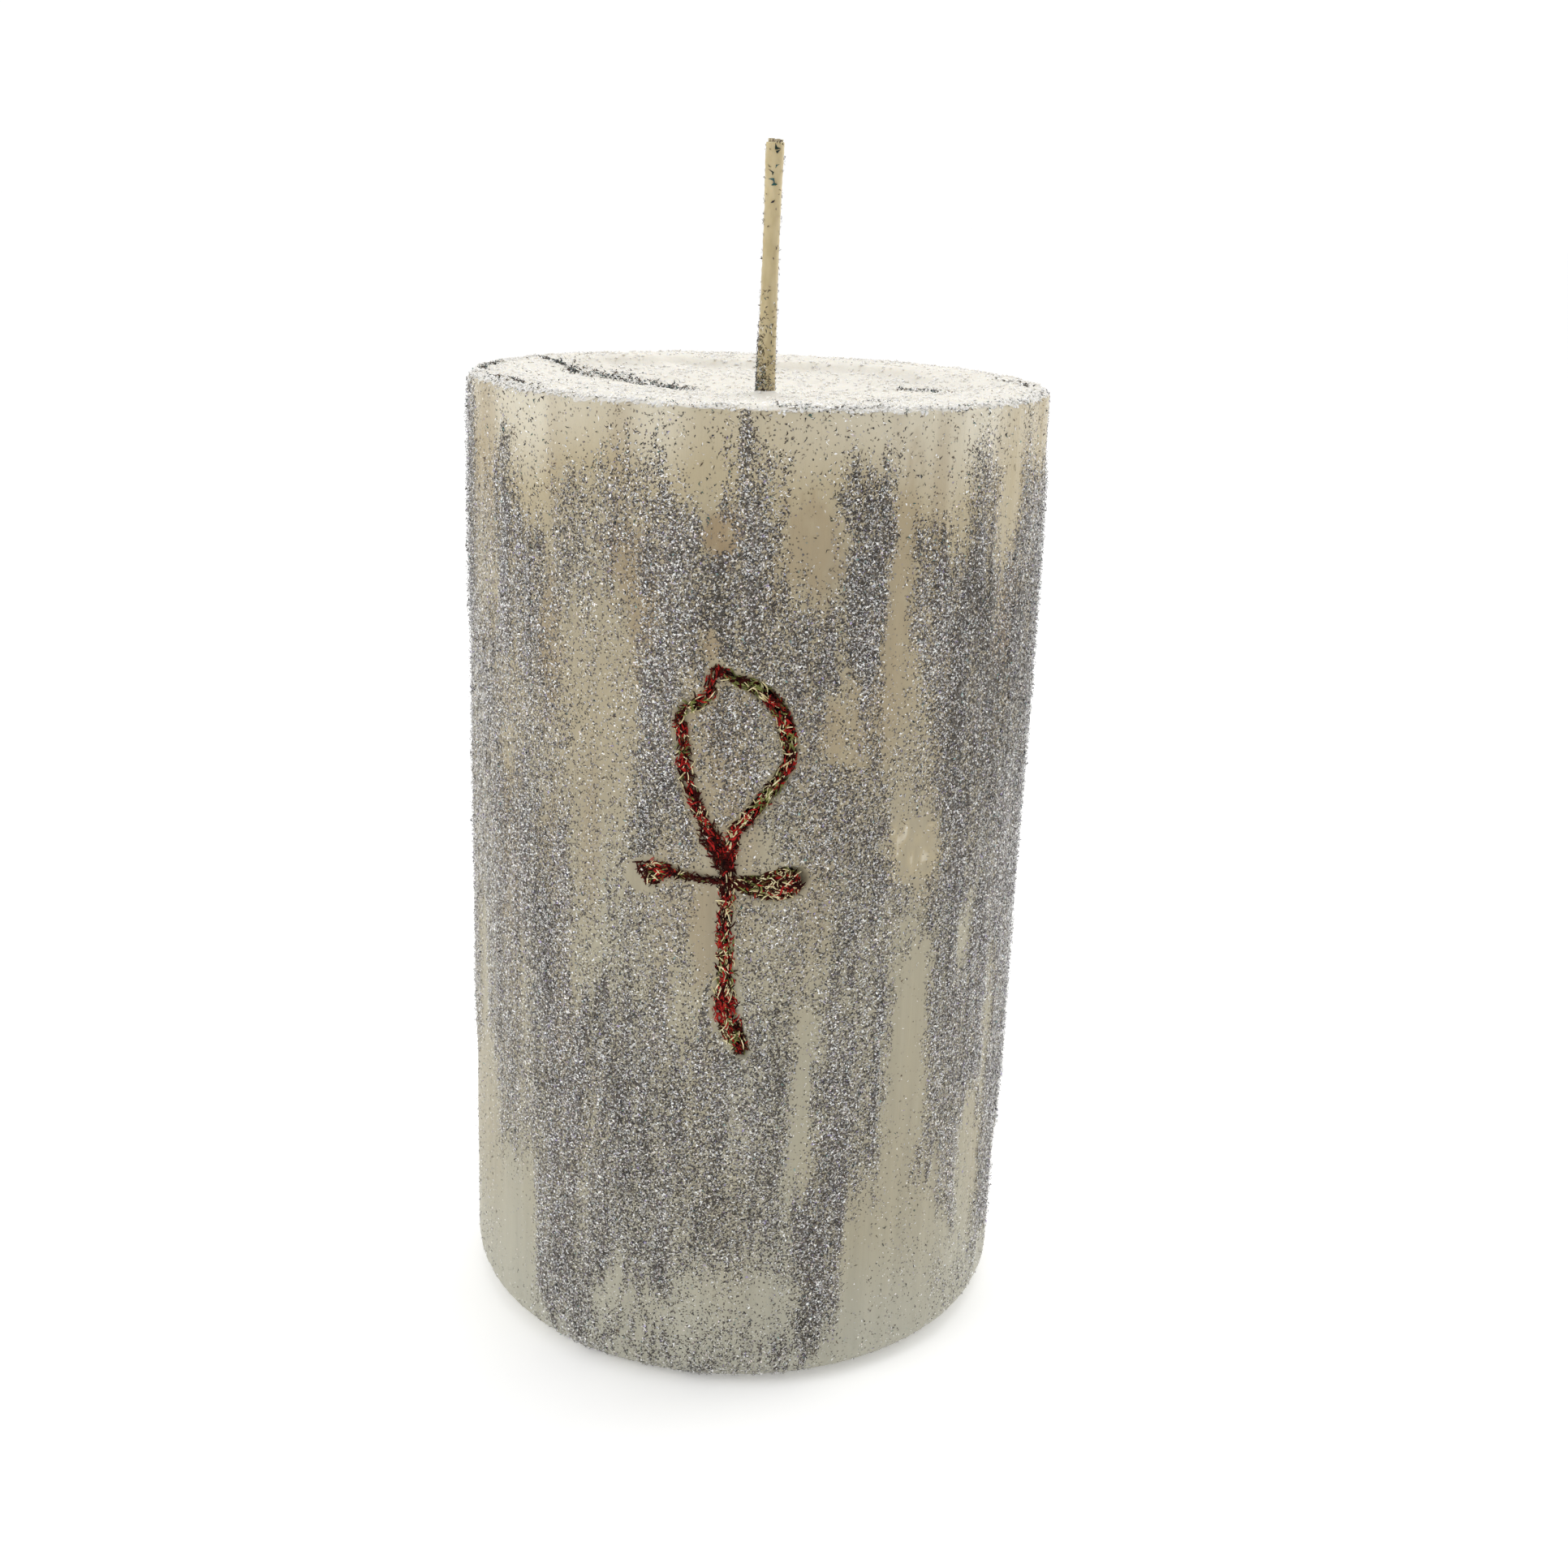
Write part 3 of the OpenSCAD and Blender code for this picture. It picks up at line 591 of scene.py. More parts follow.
def wick_wax():
    look = Look("wick_wax", Subsurface_Weight=0.3, Subsurface_Scale=0.0015, Subsurface_Radius=(1.0, 0.8, 0.4),
                Specular_IOR_Level=0.4)
    drip = look.noise(1.2, (1, 1, 0.35), detail=3)
    colour = look.ramp(drip, [(0.3, (0.47, 0.385, 0.215)), (0.7, (0.58, 0.49, 0.30))])
    rough = look.grey_ramp(look.noise(0.5), [(0.3, 0.38), (0.7, 0.55)])
    return look.finish(colour, rough, look.bump(look.noise(0.5, (1, 1, 0.5)), 0.05, 0.5))


def tinplate():
    look = Look("tinplate", Metallic=1.0)
    grain = look.noise(0.4, (1, 0.08, 1), detail=4)
    colour = look.ramp(grain, [(0.3, (0.48, 0.49, 0.50)), (0.7, (0.64, 0.65, 0.66))])
    rough = look.grey_ramp(look.noise(2.0), [(0.3, 0.24), (0.7, 0.42)])
    return look.finish(colour, rough, look.bump(grain, 0.01, 0.5))


# Glitter tints: colour, roughness, metal, and how common each is in light and in dark glitter.
GLITTER_TINTS = [
    # near-white flakes stand in for sparkle: a painted highlight on top of their gloss
    ("flake_painted_sparkle_white", (0.95, 0.95, 0.93), 0.30, 0.15, 0.39, 0.25),
    ("flake_silver", (0.60, 0.59, 0.58), 0.28, 0.70, 0.27, 0.20),
    ("flake_grey", (0.25, 0.24, 0.235), 0.35, 0.65, 0.12, 0.11),
    ("flake_slate", (0.032, 0.032, 0.040), 0.45, 0.35, 0.12, 0.24),
    ("flake_umber", (0.080, 0.060, 0.042), 0.50, 0.20, 0.05, 0.15),
    ("flake_violet", (0.36, 0.31, 0.50), 0.30, 0.70, 0.04, 0.03),
    ("flake_teal", (0.22, 0.35, 0.33), 0.30, 0.70, 0.01, 0.02),
]

WAX = cream_wax("cream_wax", (0.72, 0.69, 0.62))
GLUE = brushed_glue()
WICK_WAX = wick_wax()
FLAKE_LOOKS = [foil(*row[:4]) for row in GLITTER_TINTS]
TINT_SHARES = np.array([row[4:] for row in GLITTER_TINTS]).T
TINT_SHARES = TINT_SHARES / TINT_SHARES.sum(axis=1, keepdims=True)
FLECK_LOOKS = [foil("fleck_black", (0.016, 0.018, 0.020), 0.45, 0.3),
               foil("fleck_teal", (0.025, 0.085, 0.078), 0.4, 0.3),
               foil("fleck_brown", (0.075, 0.048, 0.030), 0.5, 0.2)]
ALL_FLAKES = FLAKE_LOOKS + FLECK_LOOKS
PAINTED_SPARKLE_WHITE, SILVER, GREY, BLACK, TEAL, BROWN = 0, 1, 2, 7, 8, 9     # places in ALL_FLAKES
# Fibres: dark and light colour, roughness, gloss.
FIBRES = {name: fibre(name + "_fibre", *values) for name, values in {
    "red": ((0.13, 0.003, 0.003), (0.44, 0.012, 0.009), 0.55, 0.12),
    "maroon": ((0.004, 0.0012, 0.0012), (0.048, 0.005, 0.004), 0.6, 0.04),
    "brown": ((0.022, 0.008, 0.004), (0.13, 0.050, 0.018), 0.6, 0.05),
    "gold": ((0.42, 0.32, 0.13), (0.88, 0.80, 0.50), 0.38, 0.4),
    "green": ((0.045, 0.050, 0.010), (0.25, 0.27, 0.075), 0.55, 0.12),
    # the stroke core: dark maroon, made near-black as painted shadow between the fibres
    "painted_shadow_core": ((0.0015, 0.0006, 0.0005), (0.006, 0.0016, 0.0012), 0.95, 0.0),
}.items()}


# ---------------------------------------------------------------- the pillar

WALL_COLUMNS = 400
COLUMNS = np.arange(WALL_COLUMNS) * 360 / WALL_COLUMNS     # their bearings
FOOT_STEPS, RIM_STEPS, TOP_RINGS = 13, 5, 62
FINE_LOW, FINE_HIGH = 46, 104              # the wall's rings are fine between these heights
WICK_REACH = 12                            # the top's rings shift toward the wick within this
POOL_X, POOL_Y = -2.0, 15.0                # middle of the melted pool in the top
POOL_HALF_X, POOL_HALF_Y = 25.5, 15.0
POOL_DEPTH = 0.9


def top_height(x, y):
    """Height of the top face: dished, with a shallow melted pool and crumbly wax."""
    r = np.hypot(x, y)
    ball = (DISH_R ** 2 + DISH_DEPTH ** 2) / (2 * DISH_DEPTH)
    dish = np.where(r < DISH_R, DISH_DEPTH - (ball - np.sqrt(np.maximum(ball ** 2 - r ** 2, 0))), 0)
    pool = np.hypot((x - POOL_X) / POOL_HALF_X, (y - POOL_Y) / POOL_HALF_Y)
    step = POOL_DEPTH * smoothstep(1.03, 0.95, pool + 0.14 * (flat_noise(x, y, 6, 31) - 0.5))
    crumbs = 0.34 * (flat_noise(x, y, 2.2, 32) - 0.5) + 0.26 * (flat_noise(x, y, 0.9, 33) - 0.5)
    meniscus = 0.9 * np.exp(-((np.hypot(x - WICK_X, y) - WICK_R) / 1.2).clip(0) ** 2)
    return PILLAR_H - dish - step + crumbs * smoothstep(PILLAR_R, PILLAR_R - 1.5, r) + meniscus


def on_top(x, y):
    """Height of the top face, falling away over the rounded rim."""
    fall = np.clip(np.hypot(x, y) - (PILLAR_R - RIM_R), 0, RIM_R)
    return top_height(x, y) - (RIM_R - np.sqrt(np.maximum(RIM_R ** 2 - fall ** 2, 0)))


def pillar():
    """The wax body, ring by ring from the tab's recess, up the wall and in over the top."""
    rings = [wall_to_xyz(COLUMNS, z, r) for z, r in (
        (RECESS_H, WICK_R), (RECESS_H, TAB_R), (0.0, TAB_R), (0.0, 20.0), (0.0, PILLAR_R - FOOT_R))]
    wear = -0.3 * wall_noise(COLUMNS, 2.0, 5, 8, 35)
    for a in np.radians(np.linspace(-90, 0, FOOT_STEPS)[1:-1]):
        radius = PILLAR_R - FOOT_R + FOOT_R * math.cos(a) + wear * math.cos(a)
        rings.append(wall_to_xyz(COLUMNS, FOOT_R + FOOT_R * math.sin(a), radius))
    for z in np.concatenate([np.arange(FOOT_R, FINE_LOW, 2.0), np.arange(FINE_LOW, FINE_HIGH, 0.8),
                             np.arange(FINE_HIGH, PILLAR_H - RIM_R - 1, 2.0), [PILLAR_H - RIM_R - 0.6]]):
        radius = PILLAR_R + wobble_fade(z) * wall_wobble(COLUMNS, z) - groove(COLUMNS, z, 0.45)
        rings.append(wall_to_xyz(COLUMNS, z, radius))
    base = PILLAR_R + wall_wobble(COLUMNS, PILLAR_H - RIM_R)
    lump = 0.5 * (wall_noise(COLUMNS, 1.0, 1.6, 8, 36) - 0.5)
    for a in np.radians(np.linspace(0, 80, RIM_STEPS)):
        rings.append(wall_to_xyz(COLUMNS, PILLAR_H - RIM_R + RIM_R * math.sin(a),
                                 base - RIM_R + (RIM_R + lump) * math.cos(a)))
    for r in np.linspace(PILLAR_R - RIM_R, WICK_R - 0.2, TOP_RINGS):
        ring = wall_to_xyz(COLUMNS, 0.0, r)
        if abs(r - WICK_R) < WICK_REACH:
            ring[:, 0] += WICK_X * smoothstep(WICK_REACH, 2, r)
        ring[:, 2] = top_height(ring[:, 0], ring[:, 1])
        rings.append(ring)
    piece = make_mesh("wax_body", np.concatenate(rings), ring_faces(len(rings), WALL_COLUMNS))
    dress(piece, [WAX], replaced=["wax_pillar"], slot="cream_wax")


def wobble_fade(z):
    """The wobble of the wall dies out toward the rounded foot."""
    return smoothstep(FOOT_R, FOOT_R + 6, z)


def foot_drop(z):
    """How far the wall draws in at the rounded foot and rim, at height z."""
    below = np.clip(FOOT_R - z, 0, FOOT_R)
    above = np.clip(z - (PILLAR_H - RIM_R), 0, RIM_R)
    return (FOOT_R - np.sqrt(np.maximum(FOOT_R ** 2 - below ** 2, 0))) \
        + (RIM_R - np.sqrt(np.maximum(RIM_R ** 2 - above ** 2, 0)))


def bare_wall(bearing, z):
    """Radius of the wax wall."""
    return PILLAR_R + wobble_fade(z) * wall_wobble(bearing, z) - foot_drop(z)


GLUE_TOP = 129.95
GLUE_SUNK = 0.25       # where there is no glue, its surface lies this far under the wax
SLEEVE_T = 6.0         # how far inside the wall the sleeve's hidden inner face lies


def glue_coat():
    """The glue as one thin sleeve: outer face, then a plain inner face that closes it."""
    z_rows = np.concatenate([[0.2, 0.45, 0.8, 1.2, 1.8, 2.5, 3.3], np.arange(4.1, 129.0, 0.66),
                             [129.25, 129.5, 129.72, 129.88]])
    grid_b, grid_z = np.meshgrid(COLUMNS, z_rows)
    top = GLUE_TOP - 0.35 * wall_noise(grid_b, grid_z, 1.6, 30, 51)
    low = 0.25 * wall_noise(grid_b, grid_z, 1.6, 30, 53) - 0.25
    present = smoothstep(top + 0.1, top - 0.3, grid_z) * smoothstep(low - 0.3, low + 0.3, grid_z)
    cover = glitter_cover(grid_b, grid_z)
    lumps = wall_noise(grid_b, grid_z, 0.8, 0.9, 54)
    brush = wall_noise(grid_b, grid_z, 0.9, 26, 55) - 0.5
    thick = GLUE_T * (0.7 + 0.5 * brush) + 0.34 * cover * (0.5 + lumps)
    outer = bare_wall(grid_b, grid_z) - GLUE_SUNK + present * (thick + GLUE_SUNK) \
        - groove(grid_b, grid_z, 0.0)
    inner_r = PILLAR_R - SLEEVE_T
    points = [wall_to_xyz(grid_b, grid_z, outer).reshape(-1, 3),
              wall_to_xyz(COLUMNS, z_rows[-1] - 3, inner_r), wall_to_xyz(COLUMNS, z_rows[0] + 3, inner_r)]
    rows = len(z_rows) + 2
    faces = ring_faces(rows, WALL_COLUMNS)
    c = np.arange(WALL_COLUMNS)
    n = (c + 1) % WALL_COLUMNS
    last = (rows - 1) * WALL_COLUMNS
    faces = np.vstack([faces, np.stack([last + c, last + n, n, c], axis=-1)])
    piece = make_mesh("glue_brushed", np.concatenate(points), faces)
    # the shade attribute is the glitter's own darkness plus painted side shade, lighter on the left and
    # darker on the right
    for name, field in (("cover", cover * present), ("tone", wall_tone(grid_b, grid_z)),
                        ("stain", wall_stain(grid_b, grid_z)), ("shade", glitter_darkness_with_painted_side_shade(grid_b, grid_z))):
        put_attribute(piece, name, np.append(field.reshape(-1), np.zeros(2 * WALL_COLUMNS)))
    dress(piece, [GLUE], replaced=["glue_coat"], slot="brushed_glue")


# ---------------------------------------------------------------- small pieces in thousands

UPWARD, SIDEWAYS = (0.0, 0.0, 1.0), (1.0, 0.0, 0.0)


def frames_from(normals, spin):
    """Two directions across each normal, turned by spin."""
    up = np.tile(UPWARD, (len(normals), 1))
    up[np.abs(normals[:, 2]) > 0.95] = SIDEWAYS
    side = np.cross(up, normals)
    side /= np.linalg.norm(side, axis=1, keepdims=True)
    other = np.cross(normals, side)
    c, s = np.cos(spin)[:, None], np.sin(spin)[:, None]
    return side * c + other * s, other * c - side * s


def tilted(normals, amount, rng):
    """Normals leaned at random, by about the amount in radians."""
    out = normals + rng.normal(size=normals.shape) * np.broadcast_to(amount, len(normals))[:, None]
    return out / np.linalg.norm(out, axis=1, keepdims=True)


# Corners of a straight and of a bent flake: along it, across it, share of the bend, up.
STRAIGHT_CORNERS = np.array([(1, 0, 0, 1), (-1, 0, 0, 1), (0, 1, 0, -1), (0, -1, 0, -1)], float)
STRAIGHT_FACES = np.array([(0, 2, 1), (0, 1, 3), (0, 3, 2), (1, 2, 3)])
BENT_CORNERS = np.array([(1, 0, -1, 0), (0, 1, 1, 0), (-1, 0, -1, 0), (0, -1, 1, 0), (0, 0, 1, 1),
                         (0, 0, 1, -1)], float)
BENT_FACES = np.array([(0, 1, 4), (1, 2, 4), (2, 3, 4), (3, 0, 4),
                       (1, 0, 5), (2, 1, 5), (3, 2, 5), (0, 3, 5)])


def flakes(name, centres, normals, length, width, thickness, bend, spin, tints, looks, **place):
    """Thin closed flakes: straight ones where the bend is 0, bent ones elsewhere."""
    side, other = frames_from(normals, spin)
    thickness = np.broadcast_to(thickness, len(centres))
    points, faces, colours, used = [], [], [], 0
    for corners, shape, pick in ((STRAIGHT_CORNERS, STRAIGHT_FACES, bend == 0),
                                 (BENT_CORNERS, BENT_FACES, bend != 0)):
        half = [v[pick, None] / 2 for v in (length, width, bend, thickness)]
        block = centres[pick, None] + side[pick, None] * (corners[:, 0] * half[0])[..., None] \
            + other[pick, None] * (corners[:, 1] * half[1] + corners[:, 2] * half[2])[..., None] \
            + normals[pick, None] * (corners[:, 3] * half[3])[..., None]
        count = int(pick.sum())
        starts = used + np.arange(count) * len(corners)
        points.append(block.reshape(-1, 3))
        faces.append((shape[None] + starts[:, None, None]).reshape(-1, 3))
        colours.append(np.repeat(tints[pick], len(shape)))
        used += count * len(corners)
    piece = make_mesh(name, np.concatenate(points), np.concatenate(faces), smooth=False)
    dress(piece, looks, np.concatenate(colours), **place)


def picked(shares, rng):
    """A column number for each row of shares, drawn in proportion to them."""
    passed = rng.random(len(shares))[:, None] > np.cumsum(shares, axis=1)
    return passed.sum(axis=1).clip(0, shares.shape[1] - 1)


def tints_by_shade(shade, rng):
    """A glitter tint for each flake, from how dark the glitter is there."""
    return picked(TINT_SHARES[0] * (1 - shade[:, None]) + TINT_SHARES[1] * shade[:, None], rng)


def some_bent(length, share, rng):
    """A bend for this share of the flakes; the rest stay straight."""
    return np.where(rng.random(len(length)) < share, length * rng.uniform(0.2, 0.5, len(length)), 0)


def any_turn(count, rng):
    """A turn about its normal for each flake."""
    return rng.uniform(0, 2 * math.pi, count)


def coat_surface(bearing, z):
    """Radius of the coated wall, as glue_coat makes it."""
    cover = glitter_cover(bearing, z)
    return bare_wall(bearing, z) + 0.10 + 0.28 * cover, cover


FLAKE_T, FLECK_T = 0.05, 0.06              # thickness of a glitter flake and of a dark fleck
STRAY_SHARE = 0.4      # share of the flakes that lie a few millimetres off their stroke
STRAY_DEG, STRAY_MM = 1.8, 3.0             # how far off they lie
# Parts of the wall's glitter: piece, first and last bearing, bottom, top, tries per mm2,
# seed, and the nodes that the piece replaces.
WALL_PARTS = [
    ("glitter_front_upper", -34, 39, 66, 130, 22, 101, ["glitter_front"]),
    ("glitter_front_lower", -34, 39, 0.4, 66, 21, 102, []),
    ("glitter_left_upper", -88, -34, 66, 130, 21, 103, ["glitter_left"]),
    ("glitter_left_lower", -88, -34, 0.4, 66, 21, 104, []),
    ("glitter_right_upper", 39, 90, 66, 130, 20, 105, ["glitter_right"]),
    ("glitter_right_lower", 39, 90, 0.4, 66, 20, 106, []),
    ("glitter_back_right", 90, 181, 0.4, 130, 8.0, 107, ["glitter_back"]),
    ("glitter_back_left", 181, 272, 0.4, 130, 8.0, 108, []),
]


def wall_flakes(name, first, last, low, high, per_mm2, seed, replaced):
    """Flakes of one part of the wall, scattered by the glitter's cover."""
    rng = np.random.default_rng(seed)
    area = math.radians(last - first) * PILLAR_R * (high - low)
    tries = int(area * per_mm2)
    bearing, z = rng.uniform(first, last, tries), rng.uniform(low, high, tries)
    radius, cover = coat_surface(bearing, z)
    stray = np.where(rng.random(tries) < STRAY_SHARE, 1.0, 0.0)
    blurred = glitter_cover(bearing + STRAY_DEG * stray * rng.normal(size=tries),
                            z + STRAY_MM * stray * rng.normal(size=tries))
    keep = (rng.random(tries) < blurred * 1.1) & (cross_field(bearing, z) > 0.2)
    bearing, z, radius, cover = bearing[keep], z[keep], radius[keep], cover[keep]
    count = len(bearing)
    out = outward(bearing)
    out[:, 2] = np.where(z < FOOT_R, (z - FOOT_R) / FOOT_R, 0)
    out /= np.linalg.norm(out, axis=1, keepdims=True)
    crust = 0.08 + 0.42 * rng.random(count) ** 2 * cover
    edge = smoothstep(64, 82, np.abs((bearing + 180) % 360 - 180))     # rougher at the outline
    centres = wall_to_xyz(bearing, z, radius) + out * (crust * (1 + 0.6 * edge))[:, None]
    normals = tilted(out, np.where(rng.random(count) < 0.30, 0.80, 0.34) + 0.35 * edge, rng)
    length = rng.uniform(0.24, 0.54, count)
    width = np.where(rng.random(count) < 0.12, length * 0.55, rng.uniform(0.07, 0.13, count))
    # the tints follow the glitter's darkness, which includes painted side shade: whiter flakes on the left,
    # darker ones on the right
    flakes(name, centres, normals, length, width, FLAKE_T, some_bent(length, 0.4, rng),
           any_turn(count, rng), tints_by_shade(glitter_darkness_with_painted_side_shade(bearing, z), rng), FLAKE_LOOKS,
           replaced=replaced, slot="silver_glitter")


def wall_flecks():
    """Sparse short dark flecks in the upper wall, and a few all over it."""
    rng = np.random.default_rng(77)
    tries = 50000
    bearing, z = rng.uniform(-180, 180, tries), rng.uniform(2, 129.6, tries)
    clump = 0.2 + 1.6 * wall_noise(bearing, z, 4, 5, 78) * wall_noise(bearing, z, 11, 9, 79)
    keep = rng.random(tries) < 0.015 + 0.62 * smoothstep(110, 122, z) * clump
    bearing, z = bearing[keep], z[keep]
    count = len(bearing)
    centres = wall_to_xyz(bearing, z, coat_surface(bearing, z)[0] + 0.10)
    normals = tilted(outward(bearing), 0.25, rng)
    length, width = rng.uniform(0.30, 0.90, count), rng.uniform(0.11, 0.21, count)
    tints = rng.choice(5, count, p=[0.46, 0.12, 0.30, 0.07, 0.05])
    flakes("wall_flecks", centres, normals, length, width, FLECK_T, some_bent(length, 0.7, rng),
           any_turn(count, rng), tints, FLECK_LOOKS + FLAKE_LOOKS[:2], slot="silver_glitter")


# ---------------------------------------------------------------- the fibres of the cross

# Colours along each stroke: how far along, then the shares of red, dark, gold and green.
COLOUR_RUNS = {
    "loop_left": [(0.00, 3, 6, 1, 0), (0.12, 3, 6, 1, 0), (0.22, 1, 5, 3, 3), (0.32, 1, 5, 2, 3),
        (0.42, 4, 6, 1, 0), (0.52, 3, 5, 1, 2), (0.60, 5, 4, 1, 0), (0.72, 1, 7, 1, 1),
        (0.82, 4, 5, 2, 0), (0.92, 2, 7, 2, 1), (1.0, 2, 7, 1, 1)],
    "loop_right": [(0.00, 2, 7, 1, 0), (0.09, 0, 7, 1, 3), (0.20, 0, 4, 3, 4), (0.26, 5, 5, 1, 1),
        (0.31, 2, 5, 2, 3), (0.36, 6, 4, 1, 0), (0.44, 1, 5, 3, 3), (0.50, 3, 4, 3, 1),
        (0.56, 8, 3, 1, 0), (0.61, 2, 4, 2, 4), (0.69, 0, 5, 2, 5), (0.77, 4, 5, 2, 2),
        (0.84, 2, 6, 4, 0), (0.90, 4, 6, 3, 0), (1.0, 5, 6, 0, 0)],
    "neck": [(0.0, 1, 8, 1, 0), (0.4, 3, 7, 0, 0), (0.7, 3, 8, 0, 0), (1.0, 0, 9, 0, 0)],
    "left_arm": [(0.0, 0, 9, 0, 0), (0.06, 1, 8, 1, 0), (0.12, 1, 5, 3, 1), (0.18, 3, 5, 2, 2),
        (0.24, 7, 4, 0, 1), (0.36, 3, 6, 1, 1), (0.45, 0, 8, 1, 3), (0.70, 0, 9, 0, 1),
        (1.0, 0, 9, 0, 0)],
    "right_arm": [(0.0, 0, 9, 0, 0), (0.2, 0, 8, 1, 1), (0.4, 1, 7, 1, 2), (0.7, 1, 6, 3, 1),
        (0.9, 2, 6, 2, 1), (1.0, 2, 7, 1, 0)],
    "stem": [(0.0, 0, 9, 0, 0), (0.14, 1, 9, 1, 0), (0.20, 4, 5, 2, 1), (0.26, 3, 5, 3, 1),
        (0.36, 6, 5, 1, 0), (0.46, 3, 5, 2, 4), (0.56, 5, 5, 2, 1), (0.64, 2, 5, 3, 2),
        (0.74, 7, 4, 1, 0), (0.84, 4, 5, 1, 1), (0.92, 1, 5, 3, 4), (1.0, 2, 9, 0, 0)],
}
RUN_COLUMNS = {"red": 1, "maroon": 2, "gold": 3, "green": 4}
FIBRE_ORDER = ["red", "maroon", "brown", "gold", "green"]
DOME = 0.50            # how far the middle of a stroke stands above its edges


def along(path):
    """Distance along a path, from 0 to 1, and its length."""
    steps = np.hypot(*(path[1:, :2] - path[:-1, :2]).T)
    total = np.concatenate([[0], np.cumsum(steps)])
    return total / total[-1], total[-1]


def at_path(path, t):
    """Position, heading and half-width of a path at fractions t of its length."""
    s, length = along(path)
    values = [np.interp(t, s, path[:, k]) for k in range(3)]
    ahead = [np.interp(np.clip(t + 0.5 / length, 0, 1), s, path[:, k]) for k in range(2)]
    behind = [np.interp(np.clip(t - 0.5 / length, 0, 1), s, path[:, k]) for k in range(2)]
    return values[0], values[1], values[2], np.arctan2(ahead[1] - behind[1], ahead[0] - behind[0])


def along_by_width(path, count, rng):
    """Fractions along a path, more of them where the stroke is wide."""
    s = along(path)[0]
    share = np.concatenate([[0], np.cumsum((path[1:, 2] + path[:-1, 2]) * np.diff(s))])
    return np.interp(rng.random(count) * share[-1], share, s)


def beside(x, z, heading, offset):
    """Points moved sideways off a path by the offset."""
    return x - np.sin(heading) * offset, z + np.cos(heading) * offset


def end_taper(stroke, t):
    """Width of a stroke near its ends, as a share of its full width."""
    first, last = BLUNT_ENDS.get(stroke, FINE_ENDS)
    return np.interp(t, [0, 0.04, 0.96, 1], [first, 1, 1, last])


def wall_frame(x, z, lift):
    """Point and outward direction on the front of the wall at x and z."""
    bearing = np.degrees(np.arcsin(np.clip(x / PILLAR_R, -1, 1)))
    return wall_to_xyz(bearing, z, PILLAR_R + wall_wobble(bearing, z) + lift), outward(bearing)


# Cross-section of a slat, and how it narrows from station to station along it.
SLAT_CORNERS = [(-0.5, -0.5), (0.5, -0.5), (0.5, 0.5), (-0.5, 0.5)]
SLAT_STATIONS = [(-0.5, 0.55), (-0.17, 1.0), (0.17, 1.0), (0.5, 0.5)]


def slats(name, centres, normals, angle, length, width, thick, bend, tints, looks, **place):
    """Closed bent slivers: four stations of four corners each, capped at both ends."""
    side, other = frames_from(normals, angle)
    count = len(centres)
    points = np.empty((count, 4, 4, 3))
    for i, (at, thin) in enumerate(SLAT_STATIONS):
        curve = (0.25 - at * at) * bend
        middle = centres + side * (at * length)[:, None] + other * (curve * length * 0.5)[:, None] \
            + normals * (curve * 0.3 * length)[:, None]
        for j, (across, rise) in enumerate(SLAT_CORNERS):
            points[:, i, j] = middle + other * (across * width * thin)[:, None] \
                + normals * (rise * thick)[:, None]
    faces = np.vstack([[(3, 2, 1, 0), (12, 13, 14, 15)], ring_faces(4, 4)])
    all_faces = (faces[None] + (np.arange(count) * 16)[:, None, None]).reshape(-1, 4)
    piece = make_mesh(name, points, all_faces, smooth=False)
    dress(piece, looks, np.repeat(tints, len(faces)), **place)


def pick_tints(stroke, t, rng):
    """A colour for each sliver by where it lies along its stroke."""
    run = np.array(COLOUR_RUNS[stroke], float)
    shares = np.stack([np.interp(t, run[:, 0], run[:, k]) for k in (1, 2, 3, 4)], axis=1)
    clump = np.stack([np.interp(t * 37 + 11 * k, np.arange(120), rng.random(120) ** 2 * 1.8 + 0.2)
                      for k in range(4)], axis=1)
    shares = shares * clump
    pick = picked(shares / shares.sum(axis=1, keepdims=True), rng)
    brown = rng.random(len(t)) < 0.35
    return np.select([pick == 0, (pick == 1) & ~brown, pick == 1, pick == 2], [0, 1, 2, 3], 4)


def stroke_bed(stroke, path):
    """The core of a stroke, a domed closed strip, lumpy all over: a dark maroon core coloured near-black as
    painted shadow in the gaps between the fibres.
    """
    rng = np.random.default_rng(300 + len(stroke))
    t = np.linspace(0, 1, max(12, int(along(path)[1] / 0.35)))
    x, z, half, heading = at_path(path, t)
    half = 0.88 * half * end_taper(stroke, t)
    rings = []
    for u in np.linspace(-1, 1, 9):
        lift = -0.25 + DOME * (1 - u * u) + 0.22 * (rng.random(len(t)) - 0.5)
        rings.append(wall_frame(*beside(x, z, heading, half * u), lift)[0])
    for u in (0.8, -0.8):
        rings.append(wall_frame(*beside(x, z, heading, half * u), -1.2)[0])
    points = np.stack(rings, axis=1)
    piece = capped_tube(stroke + "_painted_shadow_bed", points, len(t), points.shape[1])
    dress(piece, [FIBRES["painted_shadow_core"]], slot="maroon_fibre")


FIBRES_PER_MM2 = 9.5
FINE_FIBRES = {"right_arm": 0.55, "neck": 0.8}     # strokes of shorter crumbs


